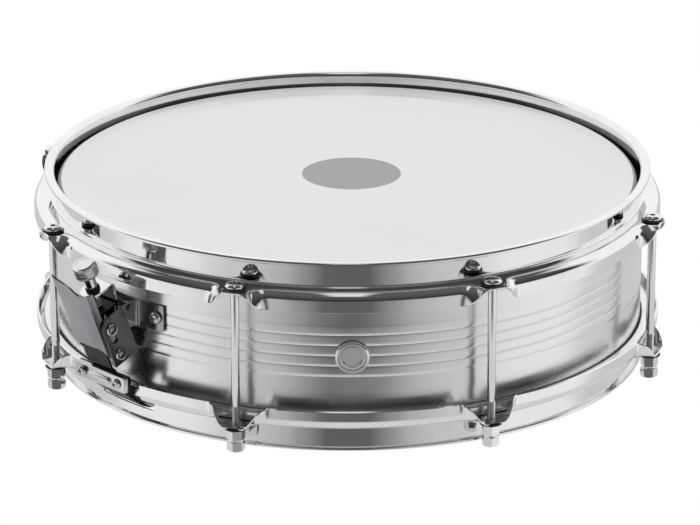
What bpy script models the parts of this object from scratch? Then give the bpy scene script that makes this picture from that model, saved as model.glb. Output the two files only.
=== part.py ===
"""Samba snare drum: a shallow 14 inch aluminium drum with eight through rods and a lever strainer.

Every length is in metres and every angle in degrees. The drum's axis is Z and it stands on its lower rim.
The strainer is at -X and the butt clamp opposite it at +X. Angles round the drum are counted from the
strainer, anticlockwise seen from above.
"""

import math

import bmesh
import bpy
from mathutils import Matrix, Vector

# Fits between neighbouring pieces
SEAT_GAP = 0.0003
RUNNING_GAP = 0.0002
SIDE_GAP = 0.0004

# Drum as a whole
DRUM_HEIGHT = 0.1140
SHELL_RADIUS = 0.1760
SHELL_WALL = 0.0012
ROUND_STEPS = 36

# Shell: raised beads, necked ends with a rolled bearing edge, dips under the snares
BEAD_COUNT = 5
BEAD_PITCH = 0.00617
BEAD_RISE = 0.0006
BEAD_CENTRE_Z = 0.0602
NECK_STEP = 0.0034
NECK_LENGTH = 0.0056
SHOULDER_LENGTH = 0.0080
EDGE_ROLL_RADIUS = 0.0030
SNARE_BED_DEPTH = 0.0014
SNARE_BED_HALF_WIDTH = 0.042

# Heads: film over the bearing edge, its collar held in a flesh hoop
FILM_THICKNESS = 0.0003
FLESH_HOOP_STEP = 0.0010
FLESH_HOOP_WIDTH = 0.0055
FLESH_HOOP_HEIGHT = 0.0058

# Pressed hoops: turned-out lip, wall, ledge and skirt in one sheet
HOOP_SHEET = 0.0014
HOOP_PLAY = 0.0012
SKIRT_PLAY = 0.0028
HOOP_HEIGHT = 0.0270
LIP_WIDTH = 0.0051
LIP_DROP = 0.0026
LEDGE_DEPTH = 0.0156
HEAD_DEPTH = 0.0078
SKIRT_BEND_RADIUS = 0.0024
EAR_FLAT_HALF = 0.0073
EAR_SHOULDER = 0.0132
PLAIN_STEPS = 3
HOOP_TURN = 27.0

# Tension rods, washers and long nuts
ROD_COUNT = 8
ROD_OFFSET = 0.0023
ROD_RADIUS = 0.0025
ROD_HOLE_RADIUS = 0.0030
ROD_HEAD_RADIUS = 0.0055
ROD_HEAD_HEIGHT = 0.0022
ROD_END_Z = 0.0005
WASHER_PLAY = 0.0004
WASHER_RADIUS = 0.0065
WASHER_THICKNESS = 0.0008
NUT_CORNER_RADIUS = 0.0053
NUT_LENGTH = 0.0130
NUT_GROOVE_DEPTH = 0.0007
NUT_GROOVE_WIDTH = 0.0008
NUT_END_ROUND = 0.0012

# Air vent
VENT_ANGLE = 47.0
VENT_Z = 0.0570
VENT_FLANGE_RADIUS = 0.00975
VENT_HOLE_RADIUS = 0.00635
VENT_BARREL_WALL = 0.0008
VENT_FLANGE_RISE = 0.0020
VENT_FLARE_RADIUS = 0.0085

# Strainer bracket, in its own leaning frame: x outward, y along the rim, z up the slide
STRAINER_LEAN = 21.4
STRAINER_FOOT_Z = 0.0441
BRACKET_SHEET = 0.0012
CHEEK_INNER_Y = 0.0120
CHEEK_DEPTH = 0.0186
CHEEK_HEIGHT = 0.0318
CHEEK_CORNER_RADIUS = 0.0060
FOOT_LOW_Z = 0.0595
FOOT_HIGH_Z = 0.0752
FOOT_END_ANGLE = 10.5
FOOT_SCREW_ANGLE = 8.8

# Strainer mechanism
PIN_X = 0.0125
PIVOT_Z = 0.0062
CAM_PIN_Z = 0.0239
PIN_RADIUS = 0.0020
PIN_HEAD_RADIUS = 0.0038
PIN_HEAD_THICKNESS = 0.0011
THROW_ANGLE = 70.0
THROW_TRAVEL = 0.0075
LEVER_SHEET = 0.0012
LEVER_FRONT_X = 0.0238
LEVER_FLANGE_X = 0.0153
LEVER_LOW_Z = 0.0170
LEVER_FLANGE_TOP_Z = 0.0515
LEVER_TIP_Z = 0.0596
LEVER_TOP_SLOPE = 0.0070
LEVER_BOSS_RADIUS = 0.0055
CARRIAGE_SHEET = 0.0012
CARRIAGE_FLANGE_MARGIN = 0.0032
CARRIAGE_LOW_Z = 0.0165
CARRIAGE_SHOULDER_Z = 0.0282
CARRIAGE_TAB_Z = 0.04365
CARRIAGE_TAB_HALF_WIDTH = 0.0077
CARRIAGE_FOLD_X = -0.0030
CARRIAGE_WEB_TILT = 9.4
SCREW_X = 0.0065
SCREW_RADIUS = 0.0020
SCREW_LOW_Z = 0.0160
KNOB_RADIUS = 0.00715
KNOB_HEIGHT = 0.0080
KNOB_NECK_RADIUS = 0.0034
KNOB_NECK_HEIGHT = 0.0097
KNOB_CAP = 0.0020
NUT_BLOCK_SIDE = 0.0070
NUT_BLOCK_HEIGHT = 0.0031
BRIDGE_Z = 0.0318
BRIDGE_DROP = 0.0013
TENSION_SHEET = 0.0012
TENSION_WEB_X = 0.0186
TENSION_WEB_LOW_Z = -0.0005

# Snare clamps, the same at the strainer and at the butt
CLAMP_HALF_LENGTH = 0.02175
CLAMP_LOW_Z = 0.0240
CLAMP_HEIGHT = 0.0094
CLAMP_CLEARANCE = 0.0044
CLAMP_PLATE_THICKNESS = 0.0026
CLAMP_RIB_RADIUS = 0.0017
CLAMP_RIB_HALF_LENGTH = 0.0090
CLAMP_SCREW_Y = 0.0150
CLAMP_SCREW_RADIUS = 0.00175
CLAMP_HEAD_RADIUS = 0.0031
CLAMP_HEAD_HEIGHT = 0.0020
CLAMP_SCREW_TAIL = 0.0022

# Butt plate
BUTT_SHEET = 0.0015
BUTT_HALF_WIDTH = 0.0160
BUTT_FOOT_LOW_Z = 0.0500
BUTT_FOOT_HIGH_Z = 0.0700
BUTT_KNEE_Z = 0.0370
BUTT_SCREW_ANGLE = 3.3
BUTT_SCREW_Z = 0.0620

# Screws that hold the bracket and the butt plate to the shell
MOUNT_SCREW_RADIUS = 0.0020
MOUNT_HEAD_RADIUS = 0.0038
MOUNT_HEAD_HEIGHT = 0.0026
MOUNT_SCREW_TAIL = 0.0050
MOUNT_NUT_RADIUS = 0.0040
MOUNT_NUT_HEIGHT = 0.0030

# Snares, their end plates and straps, and the gates in the lower hoop
GATE_HALF_ANGLE = 7.0
GATE_SILL_Z = 0.0080
SNARE_STRANDS = 20
SNARE_PITCH = 0.00215
SNARE_STRAND_RADIUS = 0.0009
SNARE_END_INSET = 0.0146
SNARE_END_LAP = 0.0060
END_PLATE_THICKNESS = 0.0006
END_PLATE_LENGTH = 0.0160
END_PLATE_HALF_WIDTH = 0.0225
STRAP_HALF_WIDTH = 0.0125
STRAP_THICKNESS = 0.0004
STRAP_LAP = 0.0080

# Heights and radii that follow from the sizes above
NECK_RADIUS = SHELL_RADIUS - NECK_STEP
FLESH_HOOP_INNER_RADIUS = SHELL_RADIUS + FLESH_HOOP_STEP
FLESH_HOOP_OUTER_RADIUS = FLESH_HOOP_INNER_RADIUS + FLESH_HOOP_WIDTH
HOOP_WALL_RADIUS = NECK_RADIUS + SEAT_GAP + FILM_THICKNESS + HOOP_PLAY + HOOP_SHEET / 2
LIP_OUTER_RADIUS = HOOP_WALL_RADIUS + LIP_WIDTH
SKIRT_OUTER_RADIUS = FLESH_HOOP_OUTER_RADIUS + SKIRT_PLAY + HOOP_SHEET
ROD_CIRCLE_RADIUS = SKIRT_OUTER_RADIUS + ROD_OFFSET
CLAMP_BASE_X = SKIRT_OUTER_RADIUS + CLAMP_CLEARANCE
END_PLATE_OUTER_X = NECK_RADIUS - SNARE_END_INSET
END_PLATE_INNER_X = END_PLATE_OUTER_X - END_PLATE_LENGTH
SNARE_HALF_LENGTH = END_PLATE_INNER_X + SNARE_END_LAP
STRAP_END_X = END_PLATE_OUTER_X - STRAP_LAP
WASHER_BORE_RADIUS = ROD_RADIUS + WASHER_PLAY
MID_Z = DRUM_HEIGHT / 2
HEAD_TOP_Z = DRUM_HEIGHT - HEAD_DEPTH
SHELL_TOP_Z = HEAD_TOP_Z - FILM_THICKNESS - SEAT_GAP
LEDGE_TOP_Z = DRUM_HEIGHT - LEDGE_DEPTH
LEDGE_UNDER_Z = LEDGE_TOP_Z - HOOP_SHEET
SHELL_OUTER_RADIUS = SHELL_RADIUS + BEAD_RISE
SHELL_INNER_RADIUS = SHELL_RADIUS - SHELL_WALL
SHELL_INNER_FLAT = SHELL_INNER_RADIUS * math.cos(math.pi / ROUND_STEPS)
FOOT_RADIUS = SHELL_OUTER_RADIUS + SEAT_GAP
ROD_STEP = 360.0 / ROD_COUNT
WASHER_LOW_Z = LEDGE_TOP_Z + SEAT_GAP
ROD_HEAD_Z = WASHER_LOW_Z + WASHER_THICKNESS + SEAT_GAP
NUT_TOP_Z = LEDGE_DEPTH - 2 * SEAT_GAP - WASHER_THICKNESS
BRACKET_BACK_HEIGHT = CARRIAGE_LOW_Z - THROW_TRAVEL - SIDE_GAP
CLAMP_STRAP_X = CLAMP_BASE_X + TENSION_SHEET + SEAT_GAP
CLAMP_PLATE_X = CLAMP_STRAP_X + STRAP_THICKNESS + SEAT_GAP
CLAMP_MID_Z = CLAMP_LOW_Z + CLAMP_HEIGHT / 2
STRAND_Z = HEAD_DEPTH - SEAT_GAP - SNARE_STRAND_RADIUS
END_PLATE_TOP_Z = STRAND_Z - SNARE_STRAND_RADIUS * 0.6


def clear_scene():
    for obj in list(bpy.data.objects):
        bpy.data.objects.remove(obj, do_unlink=True)


def make_material(name, color, roughness, metallic):
    material = bpy.data.materials.new(name)
    material.use_nodes = True
    shader = material.node_tree.nodes["Principled BSDF"]
    shader.inputs["Base Color"].default_value = (*color, 1.0)
    shader.inputs["Roughness"].default_value = roughness
    shader.inputs["Metallic"].default_value = metallic
    return material


CHROME = ((0.86, 0.86, 0.87), 0.06, 1.0)
SATIN_ALUMINIUM = ((0.80, 0.80, 0.81), 0.28, 1.0)
NICKEL = ((0.74, 0.73, 0.71), 0.22, 1.0)
SATIN_STEEL = ((0.30, 0.30, 0.31), 0.35, 1.0)
BLACK_STEEL = ((0.03, 0.03, 0.03), 0.40, 0.6)
WHITE_FILM = ((0.87, 0.87, 0.86), 0.18, 0.0)
CLEAR_FILM = ((0.82, 0.84, 0.85), 0.12, 0.0)
SPRING_STEEL = ((0.62, 0.61, 0.58), 0.30, 1.0)
STRAP_FILM = ((0.10, 0.10, 0.11), 0.45, 0.0)


def polar(angle, radius, z):
    """Point at an angle from the strainer, which is at -X."""
    turn = math.radians(180.0 + angle)
    return Vector((radius * math.cos(turn), radius * math.sin(turn), z))


def make_empty(name, parent=None, matrix=None):
    empty = bpy.data.objects.new(name, None)
    bpy.context.collection.objects.link(empty)
    empty.parent = parent
    if matrix is not None:
        empty.matrix_local = matrix
    return empty


def make_object(name, bm, parent, finish=None, location=(0, 0, 0), smooth=False):
    """Turns a bmesh into a named object with its own material; a helper has no finish."""
    bmesh.ops.recalc_face_normals(bm, faces=bm.faces)
    mesh = bpy.data.meshes.new(name)
    bm.to_mesh(mesh)
    bm.free()
    obj = bpy.data.objects.new(name, mesh)
    bpy.context.collection.objects.link(obj)
    obj.parent = parent
    obj.location = location
    if finish is None:
        obj.hide_render = True
        obj.display_type = "WIRE"
        return obj
    mesh.materials.append(make_material(name, *finish))
    if smooth:
        mesh.shade_smooth()
        mesh.set_sharp_from_angle(angle=math.radians(30))
    return obj


def share_mesh(source, name, parent, location):
    obj = bpy.data.objects.new(name, source.data)
    bpy.context.collection.objects.link(obj)
    obj.parent = parent
    obj.location = location
    return obj


def combine(obj, other, operation):
    modifier = obj.modifiers.new(other.name, "BOOLEAN")
    modifier.operation = operation
    modifier.solver = "EXACT"
    modifier.object = other


def cut(obj, *others):
    for other in others:
        combine(obj, other, "DIFFERENCE")


def fuse(obj, *others):
    for other in others:
        combine(obj, other, "UNION")


def add_turned(bm, profile, steps, matrix=None):
    """Turns a closed (radius, height) outline about Z. Points at radius 0 become the poles."""
    verts = [bm.verts.new((radius, 0, height)) for radius, height in profile]
    pairs = zip(verts, verts[1:] + verts[:1])
    edges = [bm.edges.new(pair) for pair in pairs if max(pair[0].co.x, pair[1].co.x) > 0]
    spun = bmesh.ops.spin(
        bm, geom=verts + edges, cent=(0, 0, 0), axis=(0, 0, 1),
        angle=2 * math.pi, steps=steps, use_merge=True,
    )
    bmesh.ops.remove_doubles(bm, verts=bm.verts, dist=1e-6)
    if matrix is not None:
        bmesh.ops.transform(bm, matrix=matrix, verts=bm.verts)


def turned(profile, steps, matrix=None):
    bm = bmesh.new()
    add_turned(bm, profile, steps, matrix)
    return bm


def joined(parts):
    """One bmesh that holds several separate solids."""
    whole = bmesh.new()
    for part in parts:
        mesh = bpy.data.meshes.new("part")
        part.to_mesh(mesh)
        part.free()
        whole.from_mesh(mesh)
        bpy.data.meshes.remove(mesh)
    return whole


def extruded(outline, vector, plane):
    """Extrudes a closed outline. plane maps each outline point to its place."""
    bm = bmesh.new()
    face = bm.faces.new([bm.verts.new(plane(*point)) for point in outline])
    moved = bmesh.ops.extrude_face_region(bm, geom=[face])
    tops = [item for item in moved["geom"] if isinstance(item, bmesh.types.BMVert)]
    bmesh.ops.translate(bm, verts=tops, vec=vector)
    return bm


def side_plate(outline, low_y, high_y):
    """Plate with its outline in x and z."""
    return extruded(outline, (0, high_y - low_y, 0), lambda x, z: (x, low_y, z))


def front_plate(outline, low_x, high_x):
    """Plate with its outline in y and z."""
    return extruded(outline, (high_x - low_x, 0, 0), lambda y, z: (low_x, y, z))


def level_plate(outline, low_z, high_z):
    """Plate with its outline in x and y."""
    return extruded(outline, (0, 0, high_z - low_z), lambda x, y: (x, y, low_z))


def box(low, high):
    return level_plate(rectangle(low[0], high[0], low[1], high[1]), low[2], high[2])


def rectangle(low_a, high_a, low_b, high_b):
    return [(low_a, low_b), (high_a, low_b), (high_a, high_b), (low_a, high_b)]


def arc(centre, radius, start, end, steps):
    """Points on an arc, angles in degrees, both ends included."""
    points = []
    for index in range(steps + 1):
        angle = math.radians(start + (end - start) * index / steps)
        points.append((centre[0] + radius * math.cos(angle), centre[1] + radius * math.sin(angle)))
    return points


def sheet_outline(path, thickness):
    """Closed outline of a bent sheet whose middle follows the path, mitred at its bends."""
    points = [Vector(point) for point in path]
    normals = []
    for index, point in enumerate(points):
        before = (point - points[index - 1]).normalized() if index else None
        after = (points[index + 1] - point).normalized() if index + 1 < len(points) else None
        along = (before or after) + (after or before)
        along.normalize()
        normal = Vector((-along.y, along.x))
        side = (after or before)
        spread = abs(normal.dot(Vector((-side.y, side.x))))
        normals.append(normal * thickness / 2 / spread)
    left = [tuple(point + normal) for point, normal in zip(points, normals)]
    right = [tuple(point - normal) for point, normal in zip(points, normals)]
    return left + right[::-1]


def rod_matrix(start, axis):
    """Frame whose Z runs along axis from start."""
    return Matrix.Translation(start) @ Vector(axis).to_track_quat("Z", "Y").to_matrix().to_4x4()


def pin(radius, length, steps, matrix=None):
    return turned([(0, length), (radius, length), (radius, 0), (0, 0)], steps, matrix)


def collar(inner, outer, length, steps, matrix=None):
    outline = [(inner, length), (outer, length), (outer, 0), (inner, 0)]
    return turned(outline, steps, matrix)


def pan_head(shank_radius, shank_length, head_radius, head_height, steps, matrix=None):
    """Screw with a domed head above z = 0 and its shank below."""
    outline = [
        (0, head_height),
        (head_radius * 0.62, head_height),
        (head_radius * 0.92, head_height * 0.66),
        (head_radius, head_height * 0.22),
        (head_radius, 0),
        (shank_radius, 0),
        (shank_radius, -shank_length),
        (0, -shank_length),
    ]
    return turned(outline, steps, matrix)


def rod_angles():
    """Angle of each tension rod from the strainer."""
    return [HOOP_TURN + ROD_STEP * index for index in range(ROD_COUNT)]


def shell_outline():
    """Closed (radius, z) outline of the shell: outer side from the top down, inner side back up."""
    half = SHELL_TOP_Z - MID_Z
    neck_z = half - EDGE_ROLL_RADIUS - NECK_LENGTH
    roll_centre = (NECK_RADIUS - EDGE_ROLL_RADIUS, half - EDGE_ROLL_RADIUS)
    upper_end = arc(roll_centre, EDGE_ROLL_RADIUS, 130, 0, 2)
    upper_end += [(NECK_RADIUS, neck_z), (SHELL_RADIUS, neck_z - SHOULDER_LENGTH)]
    beads = []
    bead_top = BEAD_CENTRE_Z - MID_Z + BEAD_COUNT * BEAD_PITCH / 2
    beads.append((SHELL_RADIUS, bead_top))
    for index in range(BEAD_COUNT):
        valley = bead_top - index * BEAD_PITCH
        beads.append((SHELL_OUTER_RADIUS, valley - BEAD_PITCH * 0.35))
        beads.append((SHELL_OUTER_RADIUS, valley - BEAD_PITCH * 0.65))
        beads.append((SHELL_RADIUS, valley - BEAD_PITCH))
    lower_end = [(radius, -height) for radius, height in reversed(upper_end)]
    inner_roll = EDGE_ROLL_RADIUS - SHELL_WALL
    inner_end = arc((roll_centre[0], -roll_centre[1]), inner_roll, -130, 0, 1)
    inner_end += [
        (NECK_RADIUS - SHELL_WALL, -neck_z),
        (SHELL_RADIUS - SHELL_WALL, SHOULDER_LENGTH - neck_z),
    ]
    inner_top = [(radius, -height) for radius, height in reversed(inner_end)]
    points = upper_end + beads + lower_end + inner_end + inner_top
    return [(radius, MID_Z + height) for radius, height in points]


def dip_snare_beds(bm):
    """Raises the lower bearing edge a little where the snares cross it."""
    for vert in bm.verts:
        if vert.co.z < GATE_SILL_Z + EDGE_ROLL_RADIUS and abs(vert.co.y) < SNARE_BED_HALF_WIDTH:
            share = 0.5 + 0.5 * math.cos(math.pi * vert.co.y / SNARE_BED_HALF_WIDTH)
            vert.co.z += SNARE_BED_DEPTH * share


def shell_cutters(parent):
    """Holes for the vent, the bracket's foot screws and the butt plate's screws."""
    reach = SHELL_RADIUS - NECK_RADIUS + 3 * SHELL_WALL
    start = SHELL_OUTER_RADIUS - reach
    holes = [(VENT_ANGLE, VENT_Z, VENT_HOLE_RADIUS + VENT_BARREL_WALL + RUNNING_GAP, 16)]
    screw_hole = MOUNT_SCREW_RADIUS + RUNNING_GAP
    for angle, z in foot_screw_places() + butt_screw_places():
        holes.append((angle, z, screw_hole, 8))
    parts = []
    for angle, z, radius, steps in holes:
        outward = polar(angle, 1, 0)
        parts.append(pin(radius, 2 * reach, steps, rod_matrix(polar(angle, start, z), outward)))
    return make_object("shell_holes", joined(parts), parent)


def foot_screw_places():
    middle = (FOOT_LOW_Z + FOOT_HIGH_Z) / 2
    return [(-FOOT_SCREW_ANGLE, middle), (FOOT_SCREW_ANGLE, middle)]


def butt_screw_places():
    return [(180 - BUTT_SCREW_ANGLE, BUTT_SCREW_Z), (180 + BUTT_SCREW_ANGLE, BUTT_SCREW_Z)]


def make_shell(drum):
    bm = turned(shell_outline(), ROUND_STEPS)
    dip_snare_beds(bm)
    shell = make_object("shell", bm, drum, SATIN_ALUMINIUM, smooth=True)
    cut(shell, shell_cutters(drum))


def head_outline():
    """Upper head: flat skin, round the bearing edge, down the neck and out into its flesh hoop."""
    neck = NECK_RADIUS + SEAT_GAP
    outside = neck + FILM_THICKNESS
    flat = NECK_RADIUS - EDGE_ROLL_RADIUS
    turn = HEAD_TOP_Z - EDGE_ROLL_RADIUS - SEAT_GAP
    flare = SHELL_TOP_Z - EDGE_ROLL_RADIUS - NECK_LENGTH * 0.95
    hoop_top = LEDGE_UNDER_Z - SEAT_GAP
    hoop_low = hoop_top - FLESH_HOOP_HEIGHT
    joint_z = hoop_top - FLESH_HOOP_HEIGHT * 0.5
    corner = (outside - flat) * math.cos(math.radians(45))
    inner_corner = (neck - flat) * math.cos(math.radians(45))
    outer = [
        (0, HEAD_TOP_Z),
        (flat, HEAD_TOP_Z),
        (flat + corner, turn + corner),
        (outside, turn),
        (outside, flare),
        (FLESH_HOOP_INNER_RADIUS, joint_z),
    ]
    flesh_hoop = [
        (FLESH_HOOP_INNER_RADIUS, hoop_top),
        (FLESH_HOOP_OUTER_RADIUS, hoop_top),
        (FLESH_HOOP_OUTER_RADIUS, hoop_low),
        (FLESH_HOOP_INNER_RADIUS, hoop_low),
    ]
    inner = [
        (FLESH_HOOP_INNER_RADIUS, joint_z - FILM_THICKNESS * 1.4),
        (neck, flare - FILM_THICKNESS),
        (neck, turn),
        (flat + inner_corner, turn + inner_corner),
        (flat, HEAD_TOP_Z - FILM_THICKNESS),
        (0, HEAD_TOP_Z - FILM_THICKNESS),
    ]
    return outer + flesh_hoop + inner


def flipped(outline):
    """The same outline for the lower end of the drum."""
    return [(radius, DRUM_HEIGHT - z) for radius, z in reversed(outline)]


def make_heads(drum):
    upper = head_outline()
    lower = flipped(upper)
    make_object("batter_head", turned(upper, ROUND_STEPS), drum, WHITE_FILM, smooth=True)
    make_object("snare_head", turned(lower, ROUND_STEPS), drum, CLEAR_FILM, smooth=True)


def hoop_section(lift):
    """Outline of the hoop's sheet, with z down from its rim. lift turns the skirt from hanging to level."""
    half = HOOP_SHEET / 2
    wall = HOOP_WALL_RADIUS
    ledge = -LEDGE_DEPTH - half
    bend_start = SKIRT_OUTER_RADIUS - half - SKIRT_BEND_RADIUS
    bend_length = SKIRT_BEND_RADIUS * math.pi / 2
    skirt_length = HOOP_HEIGHT - LEDGE_DEPTH - half - SKIRT_BEND_RADIUS
    path = [
        (LIP_OUTER_RADIUS - half, -LIP_DROP),
        (LIP_OUTER_RADIUS - 2 * half, -half),
        (wall, -half),
        (wall, ledge),
        (bend_start, ledge),
    ]
    droop = math.radians(90) * (1 - lift)
    radius = bend_start + bend_length * math.cos(droop / 2)
    z = ledge - bend_length * math.sin(droop / 2)
    path.append((radius, z))
    path.append((radius + skirt_length * math.cos(droop), z - skirt_length * math.sin(droop)))
    return sheet_outline(path, HOOP_SHEET)


def hoop_stations():
    """(angle, lift) of each section round the hoop: level at a rod, hanging between the rods."""
    to_degrees = math.degrees(1 / ROD_CIRCLE_RADIUS)
    flat = EAR_FLAT_HALF * to_degrees
    shoulder = EAR_SHOULDER * to_degrees
    plain = (ROD_STEP - 2 * (flat + shoulder)) / PLAIN_STEPS
    stations = []
    for rod in rod_angles():
        stations += [(rod - flat, 1.0), (rod + flat, 1.0), (rod + flat + shoulder / 2, 0.45)]
        for index in range(PLAIN_STEPS + 1):
            stations.append((rod + flat + shoulder + plain * index, 0.0))
        stations.append((rod + ROD_STEP - flat - shoulder / 2, 0.45))
    return stations


def loft_hoop(is_upper):
    """Joins the sections round the hoop into one closed sheet."""
    bm = bmesh.new()
    rings = []
    for angle, lift in hoop_stations():
        ring = []
        for radius, depth in hoop_section(lift):
            z = DRUM_HEIGHT + depth if is_upper else -depth
            ring.append(bm.verts.new(polar(angle, radius, z)))
        rings.append(ring)
    for ring, following in zip(rings, rings[1:] + rings[:1]):
        for index, vert in enumerate(ring):
            after = (index + 1) % len(ring)
            bm.faces.new((vert, ring[after], following[after], following[index]))
    return bm


def ear_holes(parent, name, middle_z):
    depth = 4 * HOOP_SHEET
    parts = []
    for angle in rod_angles():
        place = Matrix.Translation(polar(angle, ROD_CIRCLE_RADIUS, middle_z - depth / 2))
        parts.append(pin(ROD_HOLE_RADIUS, depth, 8, place))
    return make_object(name, joined(parts), parent)


def gate_wedge(angle):
    """Wedge that opens the lower hoop above the gate's sill, for the snare strap."""
    inner = HOOP_WALL_RADIUS - 4 * HOOP_SHEET
    outer = ROD_CIRCLE_RADIUS
    top = HOOP_HEIGHT + 4 * HOOP_SHEET
    corners = []
    for radius, turn in ((inner, -1), (outer, -1), (outer, 1), (inner, 1)):
        place = polar(angle + turn * GATE_HALF_ANGLE, radius, GATE_SILL_Z)
        corners.append((place.x, place.y))
    return level_plate(corners, GATE_SILL_Z, top)


def make_hoops(drum):
    upper = make_object("top_hoop", loft_hoop(True), drum, CHROME, smooth=True)
    cut(upper, ear_holes(drum, "upper_ear_holes", LEDGE_TOP_Z))
    lower = make_object("bottom_hoop", loft_hoop(False), drum, CHROME, smooth=True)
    cut(lower, ear_holes(drum, "lower_ear_holes", LEDGE_DEPTH))
    cut(lower, make_object("gates", joined([gate_wedge(0), gate_wedge(180)]), drum))


def nut_outline():
    """Half section of the long hex nut, taken through its corners, z from its lower end."""
    groove = NUT_LENGTH / 2
    corner = NUT_CORNER_RADIUS
    bore = (ROD_RADIUS + RUNNING_GAP) / math.cos(math.radians(30))
    return [
        (bore, NUT_LENGTH),
        (corner, NUT_LENGTH),
        (corner, groove + NUT_GROOVE_WIDTH / 2),
        (corner - NUT_GROOVE_DEPTH, groove),
        (corner, groove - NUT_GROOVE_WIDTH / 2),
        (corner, NUT_END_ROUND),
        (corner - NUT_END_ROUND, 0),
        (bore, 0),
    ]


def hex_nut():
    return turned(nut_outline(), 6)


def make_tension_rods(drum):
    """Screw down through both ears of each rod place, with a long nut that is turned to tune the heads."""
    length = ROD_HEAD_Z - ROD_END_Z
    rod = nut = None
    for index, angle in enumerate(rod_angles()):
        rod_place = polar(angle, ROD_CIRCLE_RADIUS, ROD_HEAD_Z)
        nut_place = polar(angle, ROD_CIRCLE_RADIUS, NUT_TOP_Z - NUT_LENGTH)
        rod_name = f"tension_rod_{index + 1}"
        nut_name = f"tension_nut_{index + 1}"
        if rod is None:
            shape = pan_head(ROD_RADIUS, length, ROD_HEAD_RADIUS, ROD_HEAD_HEIGHT, 7)
            rod = make_object(rod_name, shape, drum, CHROME, rod_place)
            nut = make_object(nut_name, hex_nut(), drum, CHROME, nut_place)
        else:
            share_mesh(rod, rod_name, drum, rod_place)
            share_mesh(nut, nut_name, drum, nut_place)


def make_washers(drum):
    """A washer under the head of each rod and one between its nut and the lower hoop."""
    washer = None
    for row, z in (("top", WASHER_LOW_Z), ("bottom", NUT_TOP_Z + SEAT_GAP)):
        for index, angle in enumerate(rod_angles()):
            name = f"{row}_washer_{index + 1}"
            place = polar(angle, ROD_CIRCLE_RADIUS, z)
            if washer is None:
                ring = collar(WASHER_BORE_RADIUS, WASHER_RADIUS, WASHER_THICKNESS, 6)
                washer = make_object(name, ring, drum, BLACK_STEEL, place)
            else:
                share_mesh(washer, name, drum, place)


def make_vent(drum):
    """Grommet through the shell: a rolled flange outside, a barrel and a flare inside."""
    bore = VENT_HOLE_RADIUS
    barrel = bore + VENT_BARREL_WALL
    inside = SHELL_INNER_FLAT - SEAT_GAP - FOOT_RADIUS
    outline = [
        (bore, VENT_FLANGE_RISE * 0.7),
        (bore + VENT_BARREL_WALL, VENT_FLANGE_RISE),
        (VENT_FLANGE_RADIUS - VENT_BARREL_WALL, VENT_FLANGE_RISE * 0.8),
        (VENT_FLANGE_RADIUS, VENT_FLANGE_RISE * 0.3),
        (VENT_FLANGE_RADIUS, 0),
        (barrel, 0),
        (barrel, inside),
        (VENT_FLARE_RADIUS, inside),
        (VENT_FLARE_RADIUS, inside - VENT_BARREL_WALL),
        (bore, inside - VENT_BARREL_WALL),
    ]
    outward = polar(VENT_ANGLE, 1, 0)
    seat = rod_matrix(polar(VENT_ANGLE, FOOT_RADIUS, VENT_Z), outward)
    frame = make_empty("vent_axis", drum, seat)
    make_object("vent_grommet", turned(outline, 16), frame, CHROME, smooth=True)


def arc_plate(inner, thickness, start, end, low_z, high_z, steps):
    """Plate bent to lie on the shell, between two angles from the strainer."""
    outline = []
    for radius, sequence in ((inner, range(steps + 1)), (inner + thickness, range(steps, -1, -1))):
        for index in sequence:
            point = polar(start + (end - start) * index / steps, radius, 0)
            outline.append((point.x, point.y))
    return level_plate(outline, low_z, high_z)


def leaning_point(x, z):
    """Place in the upright strainer frame of a point given in the leaning one."""
    lean = math.radians(STRAINER_LEAN)
    across = FOOT_RADIUS + SEAT_GAP + x * math.cos(lean) + z * math.sin(lean)
    return across, STRAINER_FOOT_Z - x * math.sin(lean) + z * math.cos(lean)


def strainer_frames(drum):
    """Upright frame on the drum's axis with x towards the strainer, and the leaning one on the shell."""
    upright = make_empty("strainer_upright", drum, Matrix.Rotation(math.pi, 4, "Z"))
    x, z = leaning_point(0, 0)
    lean = Matrix.Translation((x, 0, z)) @ Matrix.Rotation(math.radians(STRAINER_LEAN), 4, "Y")
    return upright, make_empty("strainer_slide", upright, lean)


def channel_section(web_outside, web_inside, flange_end, inner_y, outer_y):
    """Section of a folded channel in x and y, with its web across and its two flanges along x."""
    side = [(web_outside, outer_y), (flange_end, outer_y), (flange_end, inner_y), (web_inside, inner_y)]
    return [(x, -y) for x, y in side] + side[::-1]


def cheek_outline():
    centre = (CHEEK_DEPTH - CHEEK_CORNER_RADIUS, CHEEK_HEIGHT - CHEEK_CORNER_RADIUS)
    corner = arc(centre, CHEEK_CORNER_RADIUS, 0, 90, 4)
    return [(0, 0), (CHEEK_DEPTH, 0)] + corner + [(0, CHEEK_HEIGHT)]


def mirrored_pair(make_side):
    """Solids made for +y, and the same ones mirrored to -y."""
    first = make_side()
    second = make_side()
    bmesh.ops.transform(second, matrix=Matrix.Scale(-1, 4, (0, 1, 0)), verts=second.verts)
    bmesh.ops.recalc_face_normals(first, faces=first.faces)
    bmesh.ops.recalc_face_normals(second, faces=second.faces)
    return joined([first, second])


def pin_slot_cutter():
    """Slots in both cheeks along which the cam pin travels."""
    radius = PIN_RADIUS + RUNNING_GAP
    top = arc((PIN_X, CAM_PIN_Z), radius, 0, 180, 6)
    bottom = arc((PIN_X, CAM_PIN_Z - THROW_TRAVEL), radius, 180, 360, 6)
    reach = CHEEK_INNER_Y + 3 * BRACKET_SHEET
    return side_plate(top + bottom, -reach, reach)


def cross_pin_hole(z, half_length, radius_gap=RUNNING_GAP):
    start = (PIN_X, -half_length, z)
    return pin(PIN_RADIUS + radius_gap, 2 * half_length, 12, rod_matrix(start, (0, 1, 0)))


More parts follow.
